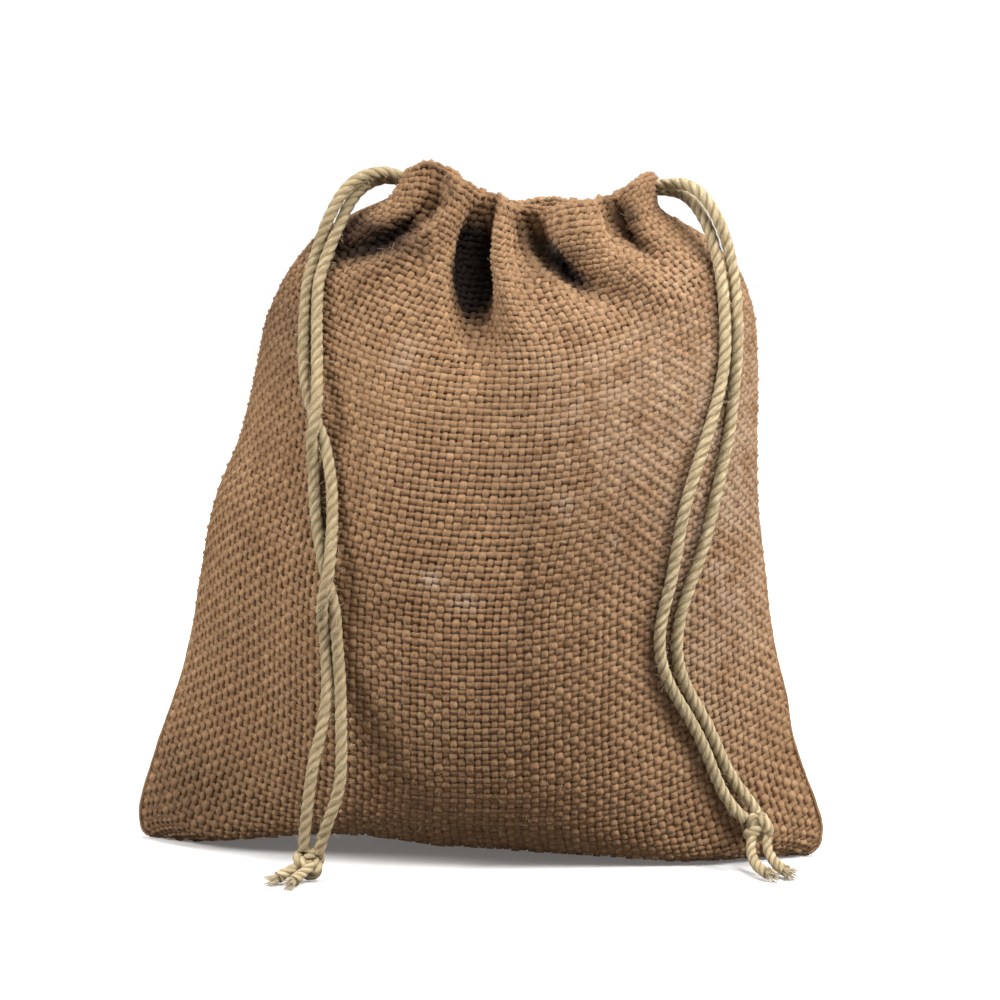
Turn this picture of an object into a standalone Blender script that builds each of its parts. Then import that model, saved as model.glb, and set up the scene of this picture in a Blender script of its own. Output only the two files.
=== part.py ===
"""Small drawstring sack of burlap, stuffed and standing on its base.

Frame: metres, +Z up, front towards -Y, origin at the middle of the base on the floor.
The tables below are in millimetres and are scaled once, when a mesh is made.
"""

import math

import bpy
import numpy as np
from mathutils import Vector
from mathutils.bvhtree import BVHTree

MM = 0.001

# ---------------------------------------------------------------- driving dimensions, mm
CLOTH_HEIGHT = 210.0      # along the cloth, from the bottom fold to the top of the hem
CLOTH_THICKNESS = 1.9     # two crossed yarns, pressed
HEM_THICKNESS = 2.2       # the cloth turned over around the drawcord
HEM_DEPTH = 12.0
CORD_DIAMETER = 3.1
CORD_LAY = 9.0            # length of one turn of the cord's plies
CORD_PLIES = 3
CORD_STEP = 1.35
CLEARANCE = 0.32          # left between two touching pieces
INSIDE_PASSES = 14        # how far the inside of tight pleats is rounded
FRONT_STEPS = 50
BACK_STEPS = 40

# Each row is one line of cloth around the sack, this far along the cloth from the fold.
STATION_COLUMNS = (
    "run", "left_x", "left_z", "right_x", "right_z",
    "front_y", "front_z", "back_y", "back_z", "flatness", "roundness",
)
STATIONS = (
    (0.0, -93.6, 0.3, 91.6, 0.3, -0.8, 0.0, 0.8, 0.0, 12.0, 1.00),
    (4.0, -96.0, 2.8, 94.9, 3.2, -4.4, 0.0, 4.2, 0.0, 10.0, 1.00),
    (8.0, -96.6, 6.8, 95.8, 7.3, -8.4, 0.0, 8.2, 0.0, 8.0, 1.00),
    (16.0, -95.2, 14.8, 93.8, 15.3, -16.3, 0.0, 16.1, 0.0, 6.5, 1.00),
    (24.0, -92.8, 22.6, 90.8, 23.0, -23.3, 3.4, 23.1, 3.0, 4.0, 1.00),
    (34.0, -89.6, 32.4, 87.4, 32.8, -30.1, 10.6, 29.9, 10.2, 2.8, 0.95),
    (46.0, -85.6, 43.5, 85.2, 44.8, -36.1, 21.0, 35.8, 20.4, 2.3, 0.88),
    (60.0, -82.0, 57.0, 81.6, 59.0, -40.4, 34.4, 40.0, 33.8, 2.1, 0.80),
    (80.0, -78.7, 76.5, 78.7, 79.0, -43.6, 54.2, 43.0, 53.6, 2.1, 0.72),
    (100.0, -74.8, 96.2, 76.3, 98.6, -44.5, 74.2, 43.6, 73.6, 2.1, 0.66),
    (120.0, -67.4, 115.0, 75.7, 118.4, -43.1, 94.2, 42.1, 93.6, 2.1, 0.62),
    (140.0, -62.8, 134.2, 75.4, 137.4, -39.5, 114.0, 38.5, 113.6, 2.1, 0.60),
    (155.0, -59.6, 148.4, 74.0, 150.8, -35.3, 128.0, 34.5, 127.8, 2.1, 0.58),
    (168.0, -53.6, 160.4, 69.6, 161.6, -30.8, 139.8, 30.0, 139.8, 2.1, 0.57),
    (180.0, -45.2, 169.6, 61.4, 169.2, -26.0, 150.2, 25.5, 150.2, 2.1, 0.56),
    (190.0, -35.6, 174.4, 54.4, 173.0, -21.8, 158.8, 21.5, 158.8, 2.1, 0.55),
    (200.0, -26.0, 178.2, 48.2, 176.8, -18.0, 167.6, 18.0, 167.6, 2.1, 0.54),
    (210.0, -21.0, 185.0, 47.6, 184.6, -15.0, 178.0, 15.0, 178.0, 2.1, 0.52),
)
# The bottom edge arches off the floor here: how high, where, and over what half-width.
ARCH_HEIGHT, ARCH_X, ARCH_WIDTH = 6.0, -44.0, 38.0

# The pleated mouth: "across" runs 0 to 1 from the left side seam to the right one.
# Columns: across, x, y, z.
FRONT_MOUTH = (
    (0.00, -21.0, 0.0, 187.2),
    (0.10, -20.6, -8.5, 187.6),
    (0.20, -17.4, -14.6, 188.0),
    (0.29, -12.8, -12.6, 188.6),
    (0.345, -10.2, -10.2, 187.6),
    (0.40, -5.0, -15.4, 184.6),
    (0.435, -1.4, -12.6, 182.2),
    (0.465, 2.0, -8.6, 180.2),
    (0.495, 5.0, -12.8, 179.2),
    (0.53, 9.0, -14.6, 178.0),
    (0.565, 13.0, -9.4, 176.6),
    (0.59, 16.0, -9.2, 176.4),
    (0.63, 20.6, -14.4, 177.6),
    (0.68, 26.4, -16.0, 178.8),
    (0.73, 32.2, -12.6, 179.4),
    (0.76, 35.2, -10.4, 180.0),
    (0.80, 38.6, -13.6, 182.4),
    (0.87, 43.4, -13.0, 184.8),
    (0.94, 46.8, -7.2, 186.0),
    (1.00, 47.6, 0.0, 186.0),
)
BACK_MOUTH = (
    (0.00, -21.0, 0.0, 187.2),
    (0.12, -19.0, 8.0, 186.6),
    (0.22, -13.4, 13.6, 185.4),
    (0.30, -7.6, 9.8, 183.0),
    (0.39, -1.0, 15.0, 180.6),
    (0.46, 6.0, 9.8, 178.4),
    (0.54, 13.0, 14.8, 179.8),
    (0.60, 18.6, 15.4, 180.2),
    (0.67, 25.0, 9.8, 178.4),
    (0.76, 33.0, 15.0, 179.6),
    (0.84, 39.6, 9.6, 181.8),
    (0.92, 45.0, 8.8, 184.8),
    (1.00, 47.6, 0.0, 186.0),
)

# Folds pressed into the cloth (depth above 0) or standing out of it (below 0).
# Columns: name, place across at its top and low end, width at its top and low end, depth,
# and how far up the cloth it begins, is deepest and ends.
FRONT_FOLDS = (
    ("shoulder_valley", 0.478, 0.020, 0.030, 0.062, 6.5, 166, 191, 214),
    ("second_pleat", 0.471, 0.149, 0.028, 0.050, -4.2, 168, 196, 216),
    ("deep_left", 0.464, 0.446, 0.022, 0.046, 9.5, 152, 188, 220),
    ("tongue", 0.490, 0.560, 0.028, 0.034, -2.6, 160, 192, 214),
    ("deep_right", 0.503, 0.763, 0.024, 0.042, 7.0, 166, 193, 220),
    ("broad_pleat", 0.690, 0.835, 0.034, 0.048, -3.8, 158, 194, 216),
    ("right_slit", 0.729, 0.862, 0.019, 0.026, 5.5, 172, 197, 222),
    ("right_shoulder", 0.930, 0.920, 0.050, 0.050, 2.0, 168, 190, 208),
    ("trough", 0.470, 0.500, 0.060, 0.060, 2.6, 60, 150, 190),
    ("left_ridge", 0.340, 0.320, 0.060, 0.060, -1.8, 50, 128, 176),
    ("right_ridge", 0.640, 0.660, 0.070, 0.070, -2.0, 50, 130, 180),
    ("low_dent", 0.760, 0.800, 0.060, 0.060, 1.4, 16, 60, 110),
    ("left_dent", 0.180, 0.160, 0.060, 0.060, 1.6, 20, 70, 120),
)
BACK_FOLDS = (
    ("back_deep_left", 0.300, 0.300, 0.022, 0.042, 7.5, 152, 191, 216),
    ("back_deep_mid", 0.460, 0.475, 0.022, 0.046, 8.5, 148, 189, 216),
    ("back_deep_right", 0.670, 0.690, 0.022, 0.042, 7.5, 154, 191, 216),
    ("back_right_slit", 0.840, 0.820, 0.024, 0.032, 4.0, 166, 196, 220),
    ("back_pleat_left", 0.385, 0.380, 0.034, 0.040, -2.6, 156, 190, 212),
    ("back_pleat_right", 0.580, 0.580, 0.036, 0.044, -2.8, 156, 190, 212),
    ("back_trough", 0.400, 0.420, 0.070, 0.070, 2.4, 50, 130, 180),
    ("back_ridge", 0.600, 0.620, 0.070, 0.070, -1.8, 40, 110, 176),
)

# The drawcord: two strands leave the hem at each side seam and end in one knot.
# Columns: x, y, z.
LEFT_CORD_A = (
    (-22.6, -3.8, 185.8), (-31.0, -6.0, 187.2), (-37.6, -10.0, 181.8), (-40.4, -13.0, 174.7),
    (-44.0, -11.5, 165.6), (-46.2, -17.2, 153.0), (-46.2, -20.9, 144.5), (-45.8, -23.7, 136.3),
    (-44.7, -26.5, 128.0), (-42.3, -29.3, 122.0), (-39.2, -32.5, 115.1), (-36.9, -35.1, 109.3),
    (-35.7, -37.6, 100.3), (-35.5, -39.8, 92.6), (-35.8, -44.4, 81.3), (-36.3, -43.3, 74.5),
    (-37.0, -39.9, 67.4), (-37.0, -39.2, 59.2), (-36.4, -41.5, 50.4), (-36.8, -43.5, 42.2),
    (-39.3, -45.0, 33.6), (-40.6, -46.0, 23.1), (-41.6, -46.0, 14.8), (-42.1, -45.4, 5.2),
)
LEFT_CORD_B = (
    (-22.6, -0.4, 184.4), (-30.7, -2.4, 184.9), (-36.6, -8.6, 177.6), (-37.4, -11.5, 173.0),
    (-40.4, -12.4, 165.6), (-42.7, -19.1, 153.1), (-42.4, -22.7, 144.6), (-41.8, -26.1, 136.5),
    (-40.9, -31.2, 128.3), (-40.5, -34.5, 122.4), (-41.2, -33.3, 115.2), (-41.5, -32.7, 109.0),
    (-41.0, -34.8, 99.9), (-40.0, -36.7, 92.2), (-36.8, -39.7, 80.7), (-35.4, -40.4, 74.2),
    (-34.2, -40.2, 67.5), (-33.4, -39.8, 59.5), (-32.9, -41.5, 50.4), (-32.6, -43.5, 42.3),
    (-32.1, -45.0, 33.8), (-32.4, -46.0, 23.4), (-36.4, -46.0, 14.8), (-38.6, -45.4, 5.2),
)
RIGHT_CORD_A = (
    (49.2, 0.4, 182.6), (53.9, -3.0, 182.7), (60.0, -8.0, 175.5), (62.3, -10.0, 170.8),
    (65.0, -12.1, 160.7), (66.0, -14.7, 153.3), (66.4, -17.0, 145.4), (66.4, -18.9, 137.5),
    (65.1, -21.4, 129.2), (62.9, -24.7, 120.9), (60.5, -27.6, 112.9), (57.8, -29.9, 104.6),
    (55.6, -31.0, 94.9), (54.2, -31.5, 84.9), (52.5, -32.0, 75.9), (50.2, -32.5, 68.1),
    (49.9, -31.5, 61.2), (52.0, -28.3, 52.6), (56.4, -24.4, 44.9), (60.5, -21.6, 38.0),
    (63.5, -19.1, 30.5), (65.5, -17.3, 23.7), (68.6, -16.4, 17.6), (76.6, -17.6, 12.2),
)
RIGHT_CORD_B = (
    (49.2, -3.2, 183.8), (54.2, -7.2, 185.5), (62.0, -10.8, 178.8), (65.2, -11.8, 172.0),
    (67.8, -11.0, 161.8), (68.5, -14.5, 153.3), (69.2, -16.6, 145.4), (69.4, -17.3, 137.5),
    (68.8, -17.9, 129.0), (68.1, -19.1, 120.6), (66.8, -21.0, 112.4), (64.9, -23.4, 104.1),
    (63.1, -24.7, 94.4), (60.4, -26.8, 84.4), (57.4, -28.7, 76.6), (55.0, -29.4, 68.0),
    (54.4, -28.6, 61.0), (56.0, -26.0, 52.6), (60.1, -22.3, 45.1), (63.4, -19.9, 37.7),
    (66.2, -17.6, 30.3), (69.8, -15.2, 23.9), (74.6, -15.0, 18.4), (77.8, -16.6, 12.2),
)
CORD_PAIRS = (
    ("cord_left_front", LEFT_CORD_A, "cord_left_back", LEFT_CORD_B),
    ("cord_right_inner", RIGHT_CORD_A, "cord_right_outer", RIGHT_CORD_B),
)

# Each knot is a lump of wraps with two short frayed tails.
KNOT_RADIUS = 3.8
WRAP_RISE = 0.95
WRAP_WIDTH = 0.30
WRAPS = ((0.25, 0.30, 0.92, 0.30), (0.88, -0.25, 0.40, -0.12), (-0.45, 0.80, 0.40, 0.05))
KNOT_SIDES, KNOT_RINGS = 18, 12
LEFT_KNOT = (-40.4, -45.4, 5.05)
RIGHT_KNOT = (77.3, -17.4, 11.8)
LEFT_TAILS = (
    ((-41.4, -45.8, 4.9), (-45.2, -48.6, 3.3), (-48.0, -50.8, 2.0)),
    ((-40.0, -46.6, 4.7), (-42.2, -50.8, 2.7), (-43.4, -54.2, 1.9)),
)
RIGHT_TAILS = (
    ((78.8, -18.2, 10.6), (80.2, -21.6, 5.8), (82.6, -25.0, 3.0), (84.8, -27.6, 2.2)),
    ((76.2, -18.8, 10.6), (75.6, -22.6, 5.6), (77.6, -27.2, 2.8), (80.0, -30.4, 2.1)),
)
TAIL_DIAMETER = 2.7
TAIL_FLARE = 1.25

# How far along the cloth the lines of the outer face lie, and those of the inner one.
RUNS = (
    0, 4, 8, 12, 17, 23, 30, 38, 47, 57, 68, 80, 92, 104, 116, 128, 139, 149, 157, 164,
    170, 175.5, 180.5, 185, 189, 193, 197, 201, 204.5, 207.5, 210,
)
INSIDE_RUNS = (8, 23, 47, 80, 116, 149, 164, 175.5, 180.5, 185, 189, 193, 197, 204.5, 210)


# ---------------------------------------------------------------- curves through a table
def slopes(knots, values):
    """Slopes of a smooth curve through a table's rows, for a cubic between each two."""
    step = np.diff(knots)
    rise = np.diff(values) / step
    middle = (rise[:-1] * step[1:] + rise[1:] * step[:-1]) / (step[:-1] + step[1:])
    return np.concatenate([rise[:1], middle, rise[-1:]])


def through(knots, values, at):
    """The smooth curve through a table's rows, read at these places."""
    knots = np.asarray(knots, float)
    values = np.asarray(values, float)
    at = np.clip(np.asarray(at, float), knots[0], knots[-1])
    m = slopes(knots, values)
    i = np.clip(np.searchsorted(knots, at, side="right") - 1, 0, len(knots) - 2)
    h = knots[i + 1] - knots[i]
    t = (at - knots[i]) / h
    return (
        values[i] * (1 + 2 * t) * (1 - t) ** 2
        + h * m[i] * t * (1 - t) ** 2
        + values[i + 1] * t * t * (3 - 2 * t)
        + h * m[i + 1] * t * t * (t - 1)
    )


def smooth_step(x):
    x = np.clip(x, 0.0, 1.0)
    return x * x * (3 - 2 * x)


# ---------------------------------------------------------------- the sack's surface, mm
def station(run):
    """The measures of the line of cloth this far from the bottom fold."""
    rows = np.array(STATIONS)
    return {
        name: float(through(rows[:, 0], rows[:, k], run))
        for k, name in enumerate(STATION_COLUMNS)
    }


def plain_line(run, across, side):
    """That line before pleats and folds, its threads evenly spaced along it."""
    s = station(run)
    swell = np.sin(np.linspace(-math.pi / 2, math.pi / 2, 241))
    half = (s["right_x"] - s["left_x"]) / 2
    x = (s["right_x"] + s["left_x"]) / 2 + half * swell
    reach = np.abs(swell) ** s["flatness"]
    y = s[side + "_y"] * np.clip(1 - reach, 0, None) ** s["roundness"]
    end_z = np.where(swell < 0, s["left_z"], s["right_z"])
    mid_z = s[side + "_z"]
    z = mid_z + (end_z - mid_z) * reach
    if run < 20:
        z = np.maximum(z - 0.3 * (1 - reach), 0.0)
    low = 1 - float(smooth_step(run / 60.0))
    z = z + low * ARCH_HEIGHT * np.clip(1 - ((x - ARCH_X) / ARCH_WIDTH) ** 2, 0, None) ** 2
    length = np.concatenate(
        [[0.0], np.cumsum(np.sqrt(np.diff(x) ** 2 + np.diff(y) ** 2 + np.diff(z) ** 2))]
    )
    share = length / length[-1]
    return np.stack([np.interp(across, share, v) for v in (x, y, z)], axis=1)


def fold_depth(run, across, folds):
    """How far the folds press in at each place of this line."""
    total = np.zeros(len(across))
    for _name, at_top, at_low, wide_top, wide_low, depth, low, deepest, top in folds:
        if not low < run < top:
            continue
        if run < deepest:
            strength = smooth_step((run - low) / (deepest - low))
        else:
            strength = smooth_step((top - run) / (top - deepest))
        up = (run - low) / (top - low)
        place = at_low + (at_top - at_low) * up
        width = wide_low + (wide_top - wide_low) * up
        total += depth * strength * np.exp(-(((across - place) / width) ** 2))
    return total


def cloth_line(run, across, side):
    """The outside of the sack along one line of cloth, as points in mm."""
    across = np.asarray(across, float)
    points = plain_line(run, across, side)
    table = np.array(FRONT_MOUTH if side == "front" else BACK_MOUTH)
    plain_mouth = plain_line(CLOTH_HEIGHT, across, side)
    gather = float(smooth_step((run - 158.0) / (CLOTH_HEIGHT - 158.0))) ** 1.15
    for k in range(3):
        points[:, k] += gather * (through(table[:, 0], table[:, k + 1], across) - plain_mouth[:, k])
    turned = np.gradient(points[:, 0]), np.gradient(points[:, 1])
    size = np.sqrt(turned[0] ** 2 + turned[1] ** 2) + 1e-9
    inward = 1.0 if side == "front" else -1.0
    depth = fold_depth(run, across, FRONT_FOLDS if side == "front" else BACK_FOLDS)
    depth *= np.sin(np.pi * np.clip(across, 0, 1)) ** 0.25
    points[:, 0] -= inward * depth * turned[1] / size * 0.6
    points[:, 1] += inward * depth * turned[0] / size
    return points


def ring(run, front_steps, back_steps):
    """One closed line around the sack: along the front, then back along the back."""
    front = cloth_line(run, np.linspace(0, 1, front_steps + 1), "front")
    back = cloth_line(run, np.linspace(1, 0, back_steps + 1), "back")
    return np.concatenate([front, back[1:-1]])


def cloth_normals(rings):
    """Outward normals of a grid of rings that close around, bottom to top."""
    around = np.roll(rings, -1, axis=1) - np.roll(rings, 1, axis=1)
    along = np.gradient(rings, axis=0)
    normal = np.cross(around, along)
    return normal / (np.linalg.norm(normal, axis=2, keepdims=True) + 1e-9)


# ---------------------------------------------------------------- building
def clear_objects():
    for old in list(bpy.data.objects):
        bpy.data.objects.remove(old)


def principled(name, colour, roughness):
    material = bpy.data.materials.new(name)
    material.use_nodes = True
    shader = material.node_tree.nodes["Principled BSDF"]
    shader.inputs["Base Color"].default_value = (*colour, 1.0)
    shader.inputs["Roughness"].default_value = roughness
    shader.inputs["Metallic"].default_value = 0.0
    material.diffuse_color = (*colour, 1.0)
    return material


def solid(name, points, faces, material):
    """One object from points in millimetres."""
    mesh = bpy.data.meshes.new(name)
    mesh.from_pydata([tuple(MM * float(c) for c in p) for p in points], [], faces)
    mesh.materials.append(material)
    mesh.validate()
    mesh.shade_smooth()
    made = bpy.data.objects.new(name, mesh)
    bpy.context.scene.collection.objects.link(made)
    return made


def grid_faces(start, rows, count):
    """Faces between rings of this many points each, the first point at this number."""
    faces = []
    for row in range(rows - 1):
        a = start + row * count
        b = a + count
        for i in range(count):
            j = (i + 1) % count
            faces.append((a + i, a + j, b + j, b + i))
    return faces


def inside_of(outer, normals, kept):
    """The cloth's inner face: one thickness in, and rounded where a pleat is tight."""
    count = outer.shape[1]
    corners = [Vector(c) for c in outer.reshape(-1, 3)]
    tree = BVHTree.FromPolygons(corners, grid_faces(0, len(outer), count))
    steady = normals.copy()
    for _pass in range(6):
        steady = (np.roll(steady, 1, axis=1) + np.roll(steady, -1, axis=1) + steady) / 3
    steady /= np.linalg.norm(steady, axis=2, keepdims=True)
    lines = []
    for k in kept:
        hem = float(smooth_step((RUNS[k] - CLOTH_HEIGHT + HEM_DEPTH + 4) / 4))
        wall = CLOTH_THICKNESS + (HEM_THICKNESS - CLOTH_THICKNESS) * hem
        line = outer[k] - normals[k] * wall
        if k == len(RUNS) - 1:
            line = line - (0.0, 0.0, 0.5)
        for _pass in range(INSIDE_PASSES if RUNS[k] > 146 else 0):
            line = 0.6 * line + 0.2 * (np.roll(line, 1, axis=0) + np.roll(line, -1, axis=0))
            for i in range(count):
                where, normal, _face, gap = tree.find_nearest(Vector(line[i]))
                depth = gap if (where - Vector(line[i])).dot(normal) > 0 else -gap
                if depth < wall * 0.9:
                    push = steady[k][i] * (1.0, 1.0, 0.3)
                    line[i] -= push * min(wall * 0.95 - depth, 1.0)
        line[:, 2] = np.maximum(line[:, 2], CLOTH_THICKNESS * 0.8)
        lines.append(line)
    return lines


def make_sack(material):
    """The open cloth shell, thicker where the hem is turned over."""
    count = FRONT_STEPS + BACK_STEPS
    outer = np.array([ring(run, FRONT_STEPS, BACK_STEPS) for run in RUNS])
    kept = [RUNS.index(run) for run in INSIDE_RUNS]
    points = [tuple(p) for line in outer for p in line]
    inner_start = len(points)
    for line in inside_of(outer, cloth_normals(outer), kept):
        points += [tuple(p) for p in line]
    faces = grid_faces(0, len(RUNS), count)
    faces += [face[::-1] for face in grid_faces(inner_start, len(kept), count)]
    top_outer = (len(RUNS) - 1) * count
    top_inner = inner_start + (len(kept) - 1) * count
    for i in range(count):
        j = (i + 1) % count
        faces.append((top_outer + i, top_outer + j, top_inner + j, top_inner + i))
    faces += closing_strip(0, FRONT_STEPS, BACK_STEPS, False)
    faces += closing_strip(inner_start, FRONT_STEPS, BACK_STEPS, True)
    return solid("sack", points, faces, material)


def closing_strip(start, front_steps, back_steps, upward):
    """Faces that close a flattened ring between its front and its back."""
    front = [start + i for i in range(front_steps + 1)]
    back = [start] + [
        start + front_steps + back_steps - i for i in range(1, back_steps)
    ] + [start + front_steps]
    faces = []
    i = j = 0
    while i < front_steps or j < back_steps:
        if j == back_steps or (i < front_steps and (i + 1) / front_steps <= (j + 1) / back_steps):
            face = (front[i], back[j], front[i + 1])
            i += 1
        else:
            face = (front[i], back[j], back[j + 1])
            j += 1
        if len(set(face)) == 3:
            faces.append(face[::-1] if upward else face)
    return faces


# ---------------------------------------------------------------- cords
def even_curve(points, step):
    """Points about this far apart on the smooth curve through a route's points."""
    points = np.array(points, float)
    chord = np.concatenate([[0], np.cumsum(np.linalg.norm(np.diff(points, axis=0), axis=1))])
    fine_at = np.linspace(0, chord[-1], 40 * len(points))
    fine = np.stack([through(chord, points[:, k], fine_at) for k in range(3)], axis=1)
    run = np.concatenate([[0], np.cumsum(np.linalg.norm(np.diff(fine, axis=0), axis=1))])
    count = max(2, int(round(run[-1] / step)) + 1)
    at = np.linspace(0, run[-1], count)
    return np.stack([np.interp(at, run, fine[:, k]) for k in range(3)], axis=1)


def cloth_tree(sack):
    corners = [v.co / MM for v in sack.data.vertices]
    return BVHTree.FromPolygons(corners, [tuple(f.vertices) for f in sack.data.polygons])


def leave_hem(route, tree):
    """Starts a strand square to the hem, just off it."""
    where, normal, _face, _gap = tree.find_nearest(Vector(route[0]))
    start = where + normal * (CLEARANCE + 0.1)
    return [tuple(start), tuple(start + normal * 3.0)] + list(route[1:])


def rest_on_cloth(first, second, tree):
    """Keeps two strands clear of the cloth and of each other, and eases their bends."""
    keep_cloth = CORD_DIAMETER / 2 + CLEARANCE
    keep_apart = CORD_DIAMETER + CLEARANCE + 0.1
    for _round in range(60):
        for line, other in ((first, second), (second, first)):
            line[2:-3] += 0.25 * (line[1:-4] + line[3:-2] - 2 * line[2:-3]) / 2
            for i in range(2, len(line) - 2):
                place = Vector(line[i])
                where, normal, _face, gap = tree.find_nearest(place)
                side = (place - where).dot(normal)
                if gap < keep_cloth or side < 0:
                    line[i] += np.array(normal) * (keep_cloth - (gap if side > 0 else -gap))
                apart = line[i] - other
                size = np.linalg.norm(apart, axis=1)
                near = int(size.argmin())
                if size[near] < keep_apart:
                    push = apart[near] / (size[near] + 1e-9) * (keep_apart - size[near])
                    line[i] += 0.5 * push
                    if 2 <= near < len(other) - 2:
                        other[near] -= 0.5 * push
    return first, second


def frames(line):
    """A turning-free pair of cross directions at each point of a line."""
    tangent = np.gradient(line, axis=0)
    tangent /= np.linalg.norm(tangent, axis=1, keepdims=True)
    across = np.cross(tangent[0], (0.31, 0.17, 0.93))
    found = []
    for t in tangent:
        across = across - t * np.dot(across, t)
        across /= np.linalg.norm(across)
        found.append((across, np.cross(t, across)))
    return found


def twisted_tube(line, diameter, lay, plies, flare=1.0):
    """Points and faces of a cord whose plies stand out of it and wind around it."""
    sides = 2 * plies
    run = np.concatenate([[0], np.cumsum(np.linalg.norm(np.diff(line, axis=0), axis=1))])
    points = []
    for place, (u, v), along in zip(line, frames(line), run):
        turn = 2 * math.pi * along / lay
        swell = 1 + (flare - 1) * (along / run[-1]) ** 3
        for k in range(sides):
            angle = turn + 2 * math.pi * k / sides
            radius = diameter / 2 * swell * (1.0 if k % 2 == 0 else 0.80)
            points.append(place + radius * (math.cos(angle) * u + math.sin(angle) * v))
    faces = [tuple(reversed(range(sides)))]
    for row in range(len(line) - 1):
        for k in range(sides):
            j = (k + 1) % sides
            a, b = row * sides, (row + 1) * sides
            faces.append((a + k, a + j, b + j))
            faces.append((a + k, b + j, b + k))
    last = (len(line) - 1) * sides
    faces.append(tuple(last + k for k in range(sides)))
    return points, faces


def knot_reach(direction):
    """How far the knot's surface lies from its centre in this direction."""
    direction = np.array(direction, float)
    direction /= np.linalg.norm(direction)
    reach = 0.0
    for x, y, z, offset in WRAPS:
        axis = np.array((x, y, z)) / math.sqrt(x * x + y * y + z * z)
        reach = max(reach, math.exp(-(((direction @ axis) - offset) / WRAP_WIDTH) ** 2))
    return KNOT_RADIUS + WRAP_RISE * reach


def end_at_knot(line, centre):
    """Cuts a strand where its end meets its knot."""
    line = even_curve(line, CORD_STEP / 9)
    rim = [2 * math.pi * k / 8 for k in range(8)]
    for number, (place, (u, v)) in enumerate(zip(line, frames(line))):
        around = [
            place + CORD_DIAMETER / 2 * (math.cos(a) * u + math.sin(a) * v) - np.array(centre)
            for a in rim
        ]
        if min(np.linalg.norm(p) - knot_reach(p) for p in around) < CLEARANCE:
            break
    return even_curve(np.concatenate([line[:number - 8:18], line[number:number + 1]]), CORD_STEP)


def make_cord_pair(names, routes, knot, tree, material):
    first, second = (even_curve(leave_hem(route, tree), CORD_STEP) for route in routes)
    rest_on_cloth(first, second, tree)
    made = []
    for name, line in zip(names, (first, second)):
        line = end_at_knot(np.concatenate([line[:-2:3], line[-1:]]), knot)
        points, faces = twisted_tube(line, CORD_DIAMETER, CORD_LAY, CORD_PLIES)
        made.append(solid(name, points, faces, material))
    return made


def make_knot(name, centre, tails, material):
    points, faces = [], []
    for ring_number in range(KNOT_RINGS + 1):
        polar = math.pi * ring_number / KNOT_RINGS
        if ring_number in (0, KNOT_RINGS):
            direction = np.array((0.0, 0.0, math.cos(polar)))
            points.append(np.array(centre) + direction * knot_reach(direction))
            continue
        for k in range(KNOT_SIDES):
            turn = 2 * math.pi * k / KNOT_SIDES
            direction = np.array(
                (math.sin(polar) * math.cos(turn), math.sin(polar) * math.sin(turn), math.cos(polar))
            )
            points.append(np.array(centre) + direction * knot_reach(direction))
    for k in range(KNOT_SIDES):
        faces.append((0, 1 + k, 1 + (k + 1) % KNOT_SIDES))
    for row in range(KNOT_RINGS - 2):
        for k in range(KNOT_SIDES):
            a, b = 1 + row * KNOT_SIDES, 1 + (row + 1) * KNOT_SIDES
            j = (k + 1) % KNOT_SIDES
            faces.append((a + k, b + k, b + j, a + j))
    low = 1 + (KNOT_RINGS - 2) * KNOT_SIDES
    for k in range(KNOT_SIDES):
        faces.append((low + k, len(points) - 1, low + (k + 1) % KNOT_SIDES))
    knot = solid(name, points, faces, material)
    for number, tail in enumerate(tails):
        points, faces = twisted_tube(
            even_curve(tail, CORD_STEP), TAIL_DIAMETER, CORD_LAY, CORD_PLIES, TAIL_FLARE
        )
        cutter = solid(f"{name}_tail_{number + 1}", points, faces, material)
        cutter.hide_render = True
        cutter.display_type = "WIRE"
        union = knot.modifiers.new(f"tail_{number + 1}", "BOOLEAN")
        union.operation = "UNION"
        union.solver = "EXACT"
        union.object = cutter
    return knot


def build():
    clear_objects()
    burlap = principled("burlap", (0.30, 0.18, 0.10), 0.92)
    jute = principled("jute_cord", (0.42, 0.31, 0.18), 0.88)
    tree = cloth_tree(make_sack(burlap))
    for (name_a, route_a, name_b, route_b), knot in zip(CORD_PAIRS, (LEFT_KNOT, RIGHT_KNOT)):
        make_cord_pair((name_a, name_b), (route_a, route_b), knot, tree, jute)
    make_knot("knot_left", LEFT_KNOT, LEFT_TAILS, jute)
    make_knot("knot_right", RIGHT_KNOT, RIGHT_TAILS, jute)


build()
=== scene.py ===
"""Looks of a small drawstring sack of burlap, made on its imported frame.

Metres, +Z up, front towards -Y. The tables below are in millimetres.
"""

import math

import bpy
import numpy as np
from mathutils import Matrix, Vector
from mathutils.bvhtree import BVHTree


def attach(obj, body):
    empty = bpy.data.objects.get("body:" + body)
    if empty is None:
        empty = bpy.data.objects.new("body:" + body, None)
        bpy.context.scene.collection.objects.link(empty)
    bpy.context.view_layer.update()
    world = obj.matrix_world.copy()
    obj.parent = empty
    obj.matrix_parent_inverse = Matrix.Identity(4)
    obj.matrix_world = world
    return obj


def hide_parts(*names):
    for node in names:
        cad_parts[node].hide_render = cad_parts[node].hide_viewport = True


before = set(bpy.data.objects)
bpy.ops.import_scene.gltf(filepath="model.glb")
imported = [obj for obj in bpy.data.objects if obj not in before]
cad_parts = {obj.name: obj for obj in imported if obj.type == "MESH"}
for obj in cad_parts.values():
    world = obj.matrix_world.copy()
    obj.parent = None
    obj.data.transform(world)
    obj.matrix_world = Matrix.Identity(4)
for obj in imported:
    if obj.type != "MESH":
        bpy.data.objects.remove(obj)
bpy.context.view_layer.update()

MM = 0.001


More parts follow.
